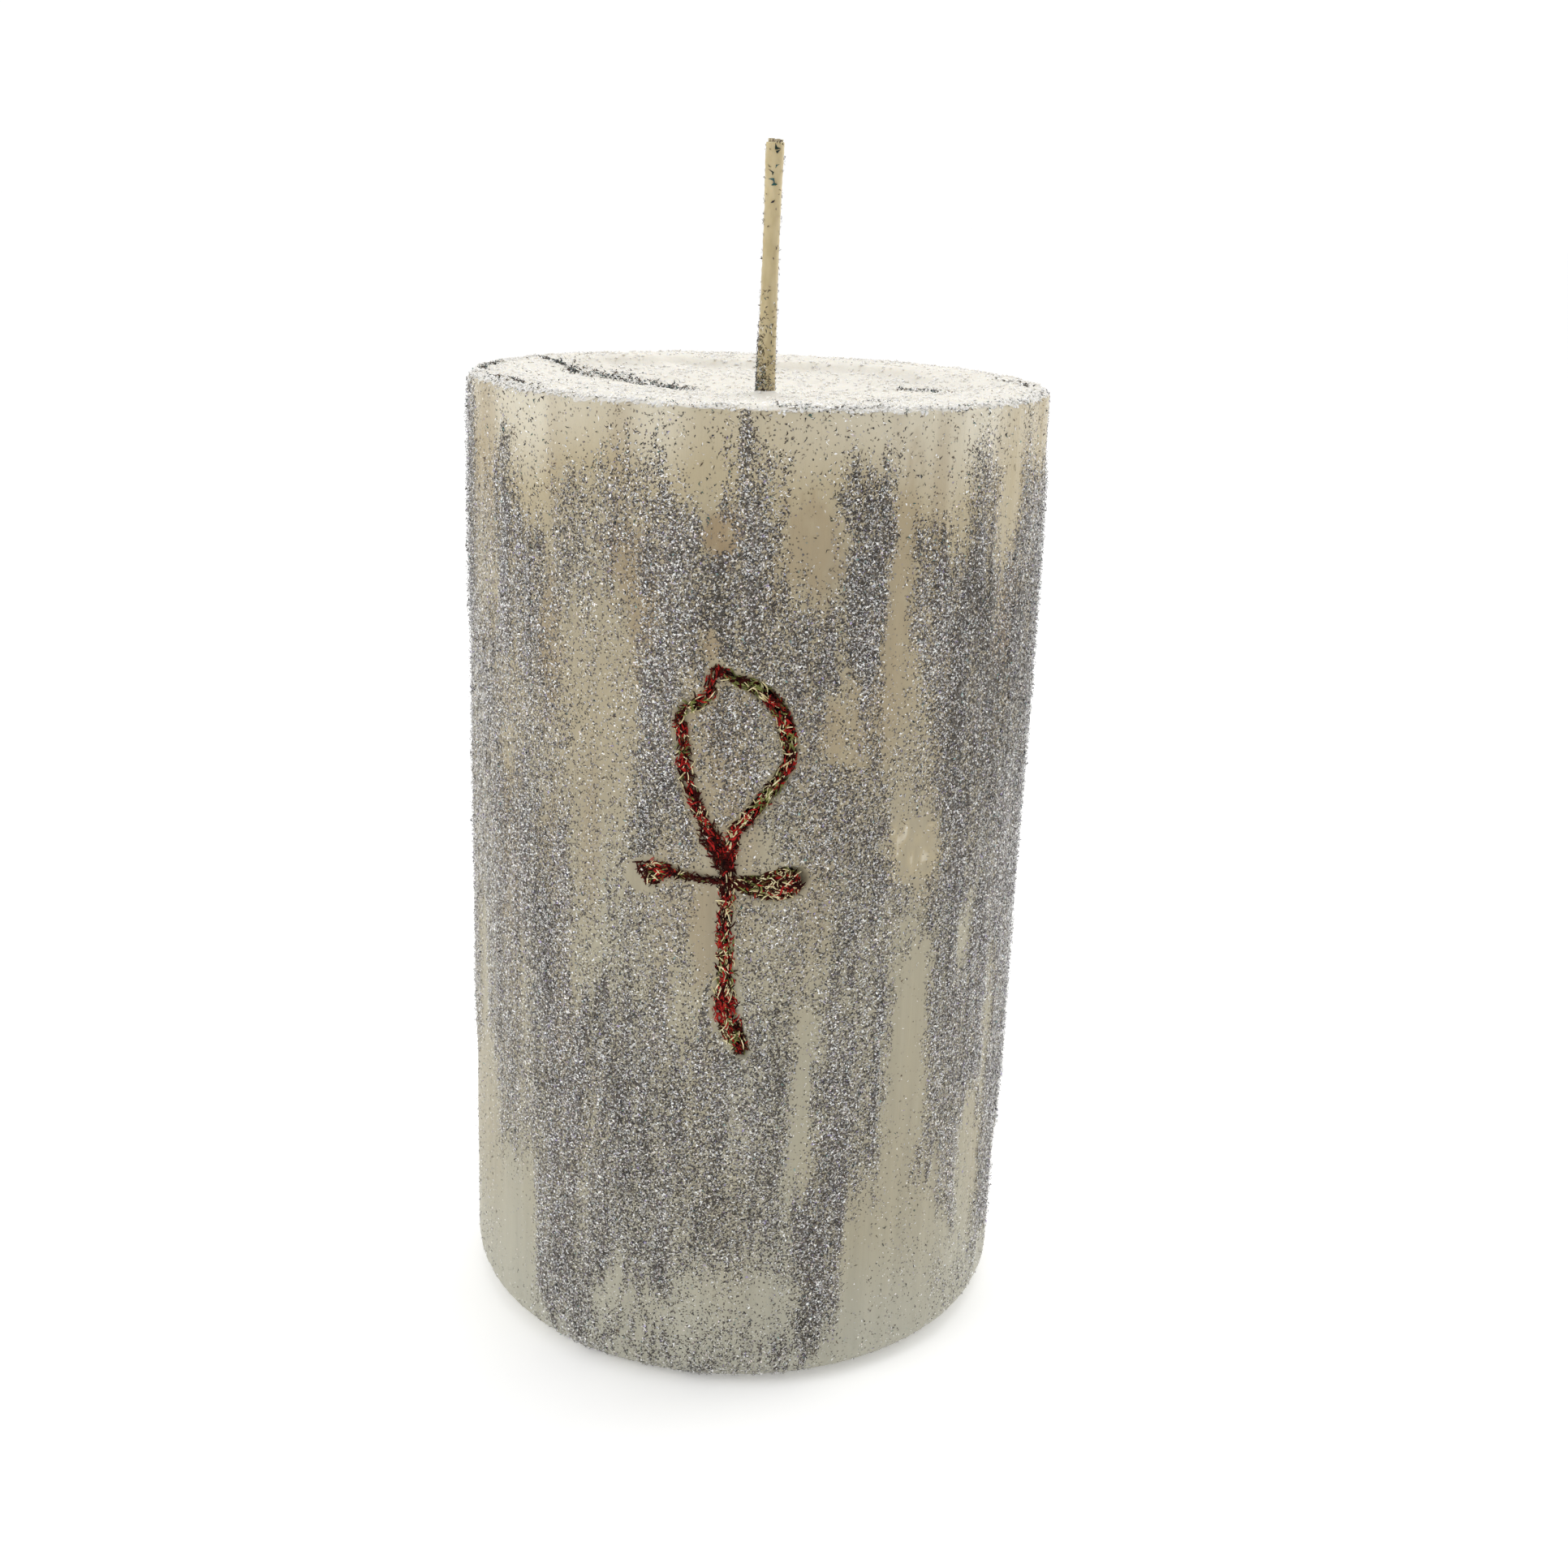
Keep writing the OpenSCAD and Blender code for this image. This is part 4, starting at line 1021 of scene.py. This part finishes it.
def stroke_fibres(stroke, path, seed, **place):
    """Chopped fibres packed into one stroke, most of them along it."""
    rng = np.random.default_rng(seed)
    fine = FINE_FIBRES.get(stroke, 1.0)
    count = int(along(path)[1] * path[:, 2].mean() * 2 * FIBRES_PER_MM2 / fine ** 2)
    t = along_by_width(path, count, rng)
    x, z, half, heading = at_path(path, t)
    u = rng.uniform(-1.12, 1.12, count) * end_taper(stroke, t)
    lift = -0.20 + DOME * (1 - u * u) + rng.uniform(0.02, 0.34, count)
    centres, out = wall_frame(*beside(x, z, heading, half * u), lift)
    normals = tilted(out, 0.20, rng)
    angle = heading + rng.normal(0, 0.55 / fine, count)
    size = rng.uniform(0.55, 1.45, count) * fine
    slats(stroke + "_fibres", centres, normals, angle, size, rng.uniform(0.08, 0.17, count),
          rng.uniform(0.06, 0.11, count), rng.normal(0, 1.0, count), pick_tints(stroke, t, rng),
          [FIBRES[name] for name in FIBRE_ORDER], **place)


def top_slivers(name, tint, share, seed, size, width, lean, **place):
    """The longer slivers of one colour that lie loose on top of the strokes."""
    rng = np.random.default_rng(seed)
    parts = []
    column = RUN_COLUMNS[tint]
    for stroke, path in STROKE_PATHS.items():
        run = np.array(COLOUR_RUNS[stroke], float)
        t = along_by_width(path, int(along(path)[1] * path[:, 2].mean() * 2 * share), rng)
        weight = np.interp(t, run[:, 0], run[:, column]) / np.interp(t, run[:, 0], run[:, 1:].sum(axis=1))
        t = t[rng.random(len(t)) < weight]
        x, z, half, heading = at_path(path, t)
        # the gold keeps to the inner side of the loop
        inward = -0.35 if tint == "gold" and stroke.startswith("loop") else 0.0
        sign = 1 if stroke == "loop_right" else -1
        u = np.clip(rng.normal(inward * sign, 0.5, len(t)), -1.0, 1.0)
        lift = DOME * (1 - u * u) + rng.uniform(0.0, 0.16, len(t))
        parts.append(np.column_stack([*beside(x, z, heading, half * u), lift, heading]))
    x, z, lift, heading = np.concatenate(parts).T
    centres, out = wall_frame(x, z, lift)
    count = len(x)
    slats(name, centres, tilted(out, 0.10, rng), heading + rng.normal(0, lean, count),
          rng.uniform(*size, count), rng.uniform(*width, count), rng.uniform(0.07, 0.12, count),
          rng.normal(0, 0.5, count), np.zeros(count, int), [FIBRES[tint]], **place)


def pale_chips():
    """A few pale chips caught in the neck and the end of the left arm."""
    rng = np.random.default_rng(505)
    spots = np.array([(-4.6, 78.2), (-12.5, 73.0), (-12.2, 72.4)])
    count = len(spots)
    centres, out = wall_frame(*spots.T, DOME + 0.05)
    slats("pale_chips", centres, tilted(out, 0.2, rng), rng.uniform(0, 3, count),
          rng.uniform(0.35, 0.65, count), rng.uniform(0.2, 0.3, count), np.full(count, 0.1), np.zeros(count),
          np.zeros(count, int), [cream_wax("chip_wax", (0.86, 0.80, 0.64))])


STROKE_SLOTS = {"loop_left": "red_fibre", "loop_right": "brown_fibre", "neck": "red_fibre",
                "left_arm": "brown_fibre", "right_arm": "maroon_fibre", "stem": "red_fibre"}
# Loose slivers: word in their names, tint, slivers per mm2, seed, length, width, lean.
LOOSE_SLIVERS = [
    ("red", "red", 6, 501, (0.6, 1.3), (0.14, 0.26), 0.6),
    ("dark", "maroon", 5, 502, (0.8, 1.6), (0.12, 0.22), 0.7),
    ("gold", "gold", 8, 503, (0.8, 1.9), (0.10, 0.17), 0.6),
    ("green", "green", 6, 504, (0.7, 1.6), (0.12, 0.22), 0.6),
]


def cross():
    """Each stroke's core and fibres, then the loose slivers and chips on top."""
    for number, (stroke, path) in enumerate(STROKE_PATHS.items()):
        stroke_bed(stroke, path)
        stroke_fibres(stroke, path, 400 + number, replaced=[stroke + "_bundle"], slot=STROKE_SLOTS[stroke])
    for word, tint, *values in LOOSE_SLIVERS:
        top_slivers(word + "_straws", tint, *values, replaced=[word + "_slivers"], slot=tint + "_fibre")
    pale_chips()


# ---------------------------------------------------------------- the wick

WICK_BASE_Z = 126.6
# Height above the rim's level, sideways shift of the wick's middle, radius.
WICK_SHAPE = np.array([(-4, 0.02, 1.27), (0, 0.02, 1.25), (6, 0.04, 1.18), (12, 0.10, 1.10), (18, 0.12, 1.08),
                       (24, 0.17, 1.12), (28, 0.21, 1.20), (31, 0.25, 1.24)])


def wick_middle(z):
    """Middle x and y of the wick, and its radius, at height z."""
    height = np.asarray(z) - PILLAR_H
    shift, radius = (np.interp(height, WICK_SHAPE[:, 0], WICK_SHAPE[:, k]) for k in (1, 2))
    return WICK_X + shift, 0.12 * np.sin((np.asarray(z) - 120) / 7), radius


def tube(name, z_rows, radius_of, columns=56):
    """A closed upright tube; radius_of gives x, y and radius at an angle and height."""
    angle = np.linspace(0, 2 * math.pi, columns, endpoint=False)
    grid_a, grid_z = np.meshgrid(angle, z_rows)
    x, y, radius = radius_of(grid_a, grid_z)
    points = np.stack([x + radius * np.cos(grid_a), y + radius * np.sin(grid_a), grid_z], axis=-1)
    return capped_tube(name, points, len(z_rows), columns)


def waxed(angle, z):
    """The waxed wick: the plait shows faintly, and its left side is lumpy."""
    x, y, radius = wick_middle(z)
    plait = np.sin(3 * angle + z * 2.6) * np.sin(3 * angle - z * 2.6)
    lump = (flat_noise(angle * 1.6, z * 0.8 - 110, 0.7, 61) - 0.5) * np.sin(angle / 2) ** 2
    close = smoothstep(WICK_TOP + 0.1, WICK_TOP - 0.8, z)
    return x, y, radius * (0.9 + 0.1 * close) + 0.030 * plait + 0.12 * lump


STRAND_RING, STRAND_R = 0.66, 0.25         # ring of strands round the core, and a strand's radius
FREE_END = 2.0                             # length of the strands that show


def wick():
    """The waxed wick and the strands of the braid at its cut end."""
    rows = np.concatenate([np.arange(WICK_BASE_Z, WICK_TOP - 0.5, 0.22), [WICK_TOP - 0.4]])
    dress(tube("wick_waxed", rows, waxed), [WICK_WAX], replaced=["wick_coat"], slot="wick_wax")

    # the cut end of the braid: eight strands round the core, splayed a little
    cotton = fibre("cotton", (0.42, 0.35, 0.22), (0.60, 0.53, 0.38), 0.8)
    rng = np.random.default_rng(62)
    strands = []
    for k in range(9):
        ring = 0.0 if k == 8 else STRAND_RING
        top = WICK_TOP + rng.uniform(-0.35, 0.15)
        lean = rng.uniform(0.0, 0.22)

        def strand(angle, z, start=k * math.pi / 4, ring=ring, lean=lean):
            x, y, _ = wick_middle(z)
            rise = np.clip((z - (WICK_TOP - FREE_END)) / FREE_END, 0, 1)
            away = ring + lean * rise ** 2 * (ring > 0)
            twist = start + 0.25 * rise
            return x + away * np.cos(twist), y + away * np.sin(twist), STRAND_R + 0.03 * np.sin(5 * angle)
        strands.append(tube("strand", np.linspace(WICK_TOP - FREE_END, top, 9), strand, 12))
    first = strands[0]
    with bpy.context.temp_override(active_object=first, selected_editable_objects=strands, object=first,
                                   selected_objects=strands):
        bpy.ops.object.join()
    first.name = first.data.name = "braid_end"
    dress(first, [cotton], replaced=["wick_braid", "wick_core"], slot="cotton")


# Single flecks high on the wick: height, angle round it, tint, length, width, turn, bend.
LOOSE_FLECKS = [
    (159.0, 4.92, BLACK, 1.1, 0.42, 2.4, 0.45), (158.4, 5.02, BLACK, 0.9, 0.40, 1.2, 0.3),
    (159.7, 5.3, BROWN, 0.6, 0.24, 0.4, 0.2), (159.6, 4.9, BROWN, 0.45, 0.2, 1.4, 0.1),
    (159.8, 4.5, BROWN, 0.40, 0.2, 0.9, 0.1), (159.4, 5.6, BROWN, 0.6, 0.2, 2.0, 0.2),
    (159.6, 5.2, BROWN, 0.5, 0.22, 1.4, 0.2), (156.7, 4.98, TEAL, 0.8, 0.2, 0.8, 0.2),
    (155.8, 4.42, BLACK, 1.3, 0.28, 1.9, -0.5), (154.9, 4.58, TEAL, 1.2, 0.36, 2.5, -0.4),
    (154.4, 4.80, TEAL, 0.9, 0.55, 0.2, 0.0), (154.6, 4.72, SILVER, 0.35, 0.22, 0.0, 0.0),
    (152.3, 4.72, BLACK, 0.75, 0.28, 0.6, 0.0), (145.3, 5.05, BROWN, 0.7, 0.2, 1.5, 0.0),
    (149.2, 4.3, BROWN, 0.45, 0.18, 0.3, 0.1), (141.1, 4.7, BROWN, 0.8, 0.2, 0.5, 0.3),
]
EDGE_BITS = 130        # small brown bits along the wick's two outlines


def wick_glitter():
    """Glitter stuck to the lower third of the wick, most of it on the left."""
    rng = np.random.default_rng(63)
    tries = 2600
    z = PILLAR_H - 2.6 + 15 * rng.random(tries) ** 1.5
    angle = any_turn(tries, rng)
    left, front = 0.5 - 0.5 * np.cos(angle), 0.5 - 0.5 * np.sin(angle)
    keep = rng.random(tries) < np.clip(0.16 + 0.75 * left * (0.5 + front), 0, 1) * smoothstep(143, 127, z)
    edge_z = rng.uniform(PILLAR_H + 2, WICK_TOP - 0.4, EDGE_BITS)
    edge_angle = np.where(rng.random(EDGE_BITS) < 0.5, 0, math.pi) + rng.normal(0, 0.5, EDGE_BITS)
    placed = np.array(LOOSE_FLECKS)
    z = np.concatenate([z[keep], edge_z, placed[:, 0]])
    angle = np.concatenate([angle[keep], edge_angle, placed[:, 1]])
    count = len(z)
    edge_rows, placed_rows = slice(-EDGE_BITS - len(placed), -len(placed)), slice(-len(placed), None)
    x, y, radius = wick_middle(z)
    out = np.stack([np.cos(angle), np.sin(angle), np.zeros(count)], axis=-1)
    centres = np.stack([x, y, z], axis=-1) + out * radius[:, None]
    normals = tilted(out, 0.35, rng)
    tints = np.where(rng.random(count) < 0.30, tints_by_shade(np.full(count, 0.6), rng),
                     rng.choice([BLACK, TEAL, BROWN], count, p=[0.4, 0.2, 0.4]))
    tints[edge_rows], tints[placed_rows] = BROWN, placed[:, 2]
    jut = rng.uniform(0.02, 0.16, count)
    jut[edge_rows] += 0.03
    centres = centres + out * jut[:, None]
    length, width = rng.uniform(0.28, 0.72, count), rng.uniform(0.09, 0.16, count)
    spin, bend = any_turn(count, rng), some_bent(length, 0.6, rng)
    for values, own in zip((length, width, spin, bend), placed[:, 3:].T):
        values[placed_rows] = own
    flakes("wick_flakes", centres, normals, length, width, FLECK_T, bend, spin, tints, ALL_FLAKES,
           replaced=["wick_glitter"], slot="silver_glitter")


# ---------------------------------------------------------------- glitter on the top face

# Lines of crumbs on the top: points x, y, then how many crumbs lie along them, how far
# they stray, their size against a common crumb, and the share of dark ones.
CRUMB_LINES = [
    # the ridge at the left, the lip of the pool and the clump at its end
    ([(-31.3, 17), (-29.3, 13.9), (-27.3, 11), (-25.2, 7)], 230, 0.30, 1.1, 0.92),
    ([(-24.9, 3.8), (-18.3, 3.5), (-11.7, 2.8), (-7.0, 2.6), (-2.0, 0.2)], 260, 0.35, 0.9, 0.85),
    ([(-25.5, 14), (-21, 12), (-16, 10)], 420, 2.8, 1.5, 0.8),
    ([(-26, 8), (-20, 6.5), (-14, 6)], 240, 1.2, 1.5, 0.8),
    ([(-14.2, 8), (-10.8, 8.5)], 330, 1.6, 1.3, 0.85),
    ([(-12.8, 4), (-10.2, 4)], 200, 0.9, 1.4, 0.9),
    ([(-9.5, 5), (-6.5, 3.5)], 90, 0.9, 1.2, 0.85),
    # the right
    ([(19, 6.5), (21.2, 3.3), (24.7, -2)], 130, 0.7, 1.2, 0.85),
    ([(13.5, -10), (17, -12)], 120, 1.3, 0.9, 0.4),
    ([(32, 8), (34.4, 4), (35.6, -2)], 60, 0.6, 1.4, 0.6),
    # the rim
    ([(-36.4, -5.6), (-36.6, 3), (-35.8, 9)], 170, 0.3, 1.1, 0.85),
    ([(-34, -13), (-30.7, -18), (-27.4, -22.5)], 90, 0.6, 1.5, 0.85),
    ([(2.0, -36.3), (8.5, -35.6), (15.5, -33.2)], 190, 0.6, 1.8, 0.05),
]
CRUMB_T = 0.08         # thickness of a crumb
# How many places are tried for crumbs along the rim and all over, and for bits of wax.
RIM_TRIES, SCATTER_TRIES = 1500, 5200
BIT_TRIES, RIM_BIT_TRIES = 9000, 3200


def clear_of_wick(x, y, gap):
    """Whether each point lies at least the gap away from the wick."""
    return np.hypot(x - WICK_X, y) > WICK_R + gap


def rim_crumbs():
    """Crumbs of glitter on the top face, in lines, along the front rim and thinly all over."""
    rng = np.random.default_rng(71)
    parts = []
    for line, count, stray, size, dark in CRUMB_LINES:
        line = np.array(line, float)
        at = np.linspace(0, 1, len(line))
        t = rng.random(count)
        clump = np.clip(t + 0.05 * np.sin(t * 60), 0, 1)
        spots = np.column_stack([np.interp(clump, at, line[:, 0]), np.interp(clump, at, line[:, 1])])
        spots = spots + rng.normal(0, stray, (count, 2))
        parts.append(np.column_stack([spots, np.full((count, 2), (size, dark))]))
    # the front rim
    bearing = rng.uniform(-84, 84, RIM_TRIES)
    bearing = bearing[rng.random(RIM_TRIES) < 0.10 + 0.65 * wall_noise(bearing, 1.0, 7, 9, 72)]
    radius = PILLAR_R - rng.uniform(0.1, 1.6, len(bearing)) ** 1.3
    rim = wall_to_xyz(bearing, 0, radius)[:, :2]
    parts.append(np.column_stack([rim, np.full((len(rim), 2), (1, 0.3))]))
    # a thin scatter everywhere, more on the left
    scatter = rng.uniform(-PILLAR_R, PILLAR_R, (SCATTER_TRIES, 2))
    scatter = scatter[rng.random(SCATTER_TRIES) < 0.13 - 0.09 * scatter[:, 0] / PILLAR_R]
    parts.append(np.column_stack([scatter, np.full((len(scatter), 2), (0.9, 0.25))]))
    x, y, size, dark = np.concatenate(parts).T
    keep = (np.hypot(x, y) < PILLAR_R - 0.05) & clear_of_wick(x, y, 0.1)
    x, y, size, dark = x[keep], y[keep], size[keep], dark[keep]
    count = len(x)
    centres = np.column_stack([x, y, on_top(x, y) + rng.uniform(0.02, 0.22, count)])
    normals = tilted(np.tile(UPWARD, (count, 1)), 0.55, rng)
    # the near-white tint of the light crumbs is painted sparkle highlight
    tints = np.where(rng.random(count) > dark, rng.choice([PAINTED_SPARKLE_WHITE, SILVER, GREY], count, p=[0.7, 0.2, 0.1]),
                     rng.choice([BLACK, TEAL, BROWN], count, p=[0.5, 0.15, 0.35]))
    length = size * rng.uniform(0.25, 0.70, count)
    flakes("rim_crumbs", centres, normals, length, size * rng.uniform(0.10, 0.20, count), CRUMB_T,
           some_bent(length, 0.7, rng), any_turn(count, rng), tints, ALL_FLAKES,
           replaced=["glitter_rim"], slot="silver_glitter")


def wax_crumbs():
    """Broken bits of wax over the top face and along the rim."""
    rng = np.random.default_rng(81)
    r = PILLAR_R * np.sqrt(rng.random(BIT_TRIES))
    a = any_turn(BIT_TRIES, rng)
    rim_a = any_turn(RIM_BIT_TRIES, rng)
    rim_r = PILLAR_R - 1.4 * rng.random(RIM_BIT_TRIES) ** 1.6
    x = np.concatenate([r * np.cos(a), rim_r * np.cos(rim_a)])
    y = np.concatenate([r * np.sin(a), rim_r * np.sin(rim_a)])
    rich = flat_noise(x, y, 6, 82) * flat_noise(x, y, 1.6, 83)
    keep = (rng.random(len(x)) < 0.15 + 1.6 * rich) & clear_of_wick(x, y, 0.4)
    x, y = x[keep], y[keep]
    count = len(x)
    size = rng.uniform(0.35, 1.0, count) * rng.uniform(0.6, 1.0, count)
    normals = tilted(np.tile(UPWARD, (count, 1)), 0.7, rng)
    flakes("wax_crumbs", np.column_stack([x, y, on_top(x, y) + 0.04]), normals, size,
           size * rng.uniform(0.4, 0.9, count), size * rng.uniform(0.3, 0.7, count),
           size * rng.uniform(0.1, 0.4, count), any_turn(count, rng), np.zeros(count, int),
           [cream_wax("crumb_wax", (0.86, 0.84, 0.80))], slot="cream_wax")


# ---------------------------------------------------------------- floor, light and camera

CAMERA_AT = (0.0, -254.76, 153.12)
# How far the camera turns to its right, down, and then counter-clockwise, in degrees.
CAMERA_PAN, CAMERA_TILT, CAMERA_ROLL = 1.172, 17.405, 2.207
LENS, SENSOR = 43.08, 36.0             # focal length and width of the sensor

ROOM_FRONT, ROOM_BACK = 0.57, 1.05     # brightness of the room in front and behind
ROOM_SPAN = (-0.7, 0.35)               # y of the view direction where one ends and the other begins
# Lamps: place and aim in metres, size, watts.
LAMPS = [("key", (-0.70, -0.45, 0.70), (0, 0, 0.07), (0.5, 0.5), 2.4),
         ("top", (0.1, 0.25, 0.9), (0, 0, 0.1), (0.7, 0.7), 2.6),
         ("rim", (0.75, 0.35, 0.30), (0, 0, 0.08), (0.4, 0.7), 1.8)]
FLOOR_GLOW = 0.22                      # keeps the far floor as white as the room
FLOOR_HALF = 12000.0                   # millimetres from the candle to the floor's edge


def put_in_scene(name, data, right, up, back, at):
    """A camera or lamp with these axes at this place, in metres."""
    thing = bpy.data.objects.new(name, data)
    bpy.context.scene.collection.objects.link(thing)
    thing.matrix_world = Matrix([*np.column_stack([right, up, back, at]).tolist(), (0, 0, 0, 1)])
    return thing


def camera():
    """The photo's camera, as fitted to the pillar's outline."""
    data = bpy.data.cameras.new("camera")
    data.lens = LENS
    data.sensor_width = SENSOR
    data.sensor_fit = "HORIZONTAL"
    data.clip_start = 0.01
    data.clip_end = 20
    turn = Matrix.Rotation(math.radians(-CAMERA_PAN), 3, "Z") \
        @ Matrix.Rotation(math.radians(90 - CAMERA_TILT), 3, "X") \
        @ Matrix.Rotation(math.radians(CAMERA_ROLL), 3, "Z")
    bpy.context.scene.camera = put_in_scene("camera", data, *turn.transposed(), np.array(CAMERA_AT) * MM)


def area_light(name, at, aim, size, watts):
    """A rectangular lamp that faces the point aim."""
    data = bpy.data.lights.new(name, "AREA")
    data.shape = "RECTANGLE"
    data.size, data.size_y = size
    data.energy = watts
    at, aim = np.array(at, float), np.array(aim, float)
    back = (at - aim) / np.linalg.norm(at - aim)
    right = np.cross((0, 0, 1), back)
    right /= np.linalg.norm(right)
    put_in_scene(name, data, right, np.cross(back, right), back, at)


def studio():
    """A white room and floor, brighter behind and beside the candle than in front of it."""
    bpy.context.scene.view_settings.view_transform = "Standard"
    world = bpy.data.worlds.new("studio")
    bpy.context.scene.world = world
    world.use_nodes = True
    tree = world.node_tree
    coords = tree.nodes.new("ShaderNodeTexCoord")
    split = tree.nodes.new("ShaderNodeSeparateXYZ")
    ramp = tree.nodes.new("ShaderNodeMapRange")
    for socket, value in (("From Min", ROOM_SPAN[0]), ("From Max", ROOM_SPAN[1]),
                          ("To Min", ROOM_FRONT), ("To Max", ROOM_BACK)):
        ramp.inputs[socket].default_value = value
    tree.links.new(coords.outputs["Generated"], split.inputs["Vector"])
    tree.links.new(split.outputs["Y"], ramp.inputs["Value"])
    back = tree.nodes["Background"]
    back.inputs["Color"].default_value = (1.0, 1.0, 1.0, 1)
    tree.links.new(ramp.outputs["Result"], back.inputs["Strength"])
    for lamp in LAMPS:
        area_light(*lamp)
    look = Look("pale_floor", Roughness=0.9, Specular_IOR_Level=0.1, Emission_Color=(1, 1, 1, 1),
                Emission_Strength=FLOOR_GLOW)
    speckle = look.noise(30, detail=2)
    look.finish(look.ramp(speckle, [(0.3, (0.90, 0.90, 0.895)), (0.7, (0.92, 0.92, 0.915))]))
    corners = FLOOR_HALF * np.array([(-1, -1, 0), (1, -1, 0), (1, 1, 0), (-1, 1, 0)])
    floor = make_mesh("floor", corners, [(0, 1, 2, 3)], smooth=False)
    floor.data.materials.append(look.material)


# ---------------------------------------------------------------- build

camera()
studio()
pillar()
glue_coat()
for part in WALL_PARTS:
    wall_flakes(*part)
wall_flecks()
cross()
wick()
wick_glitter()
rim_crumbs()
wax_crumbs()
# the hidden nodes keep their CAD shapes and get their looks
for node_name, look in (("wick_tab", tinplate()), ("tab_seal", WAX), ("inlay_glue", GLUE)):
    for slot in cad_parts[node_name].material_slots:
        slot.material = look
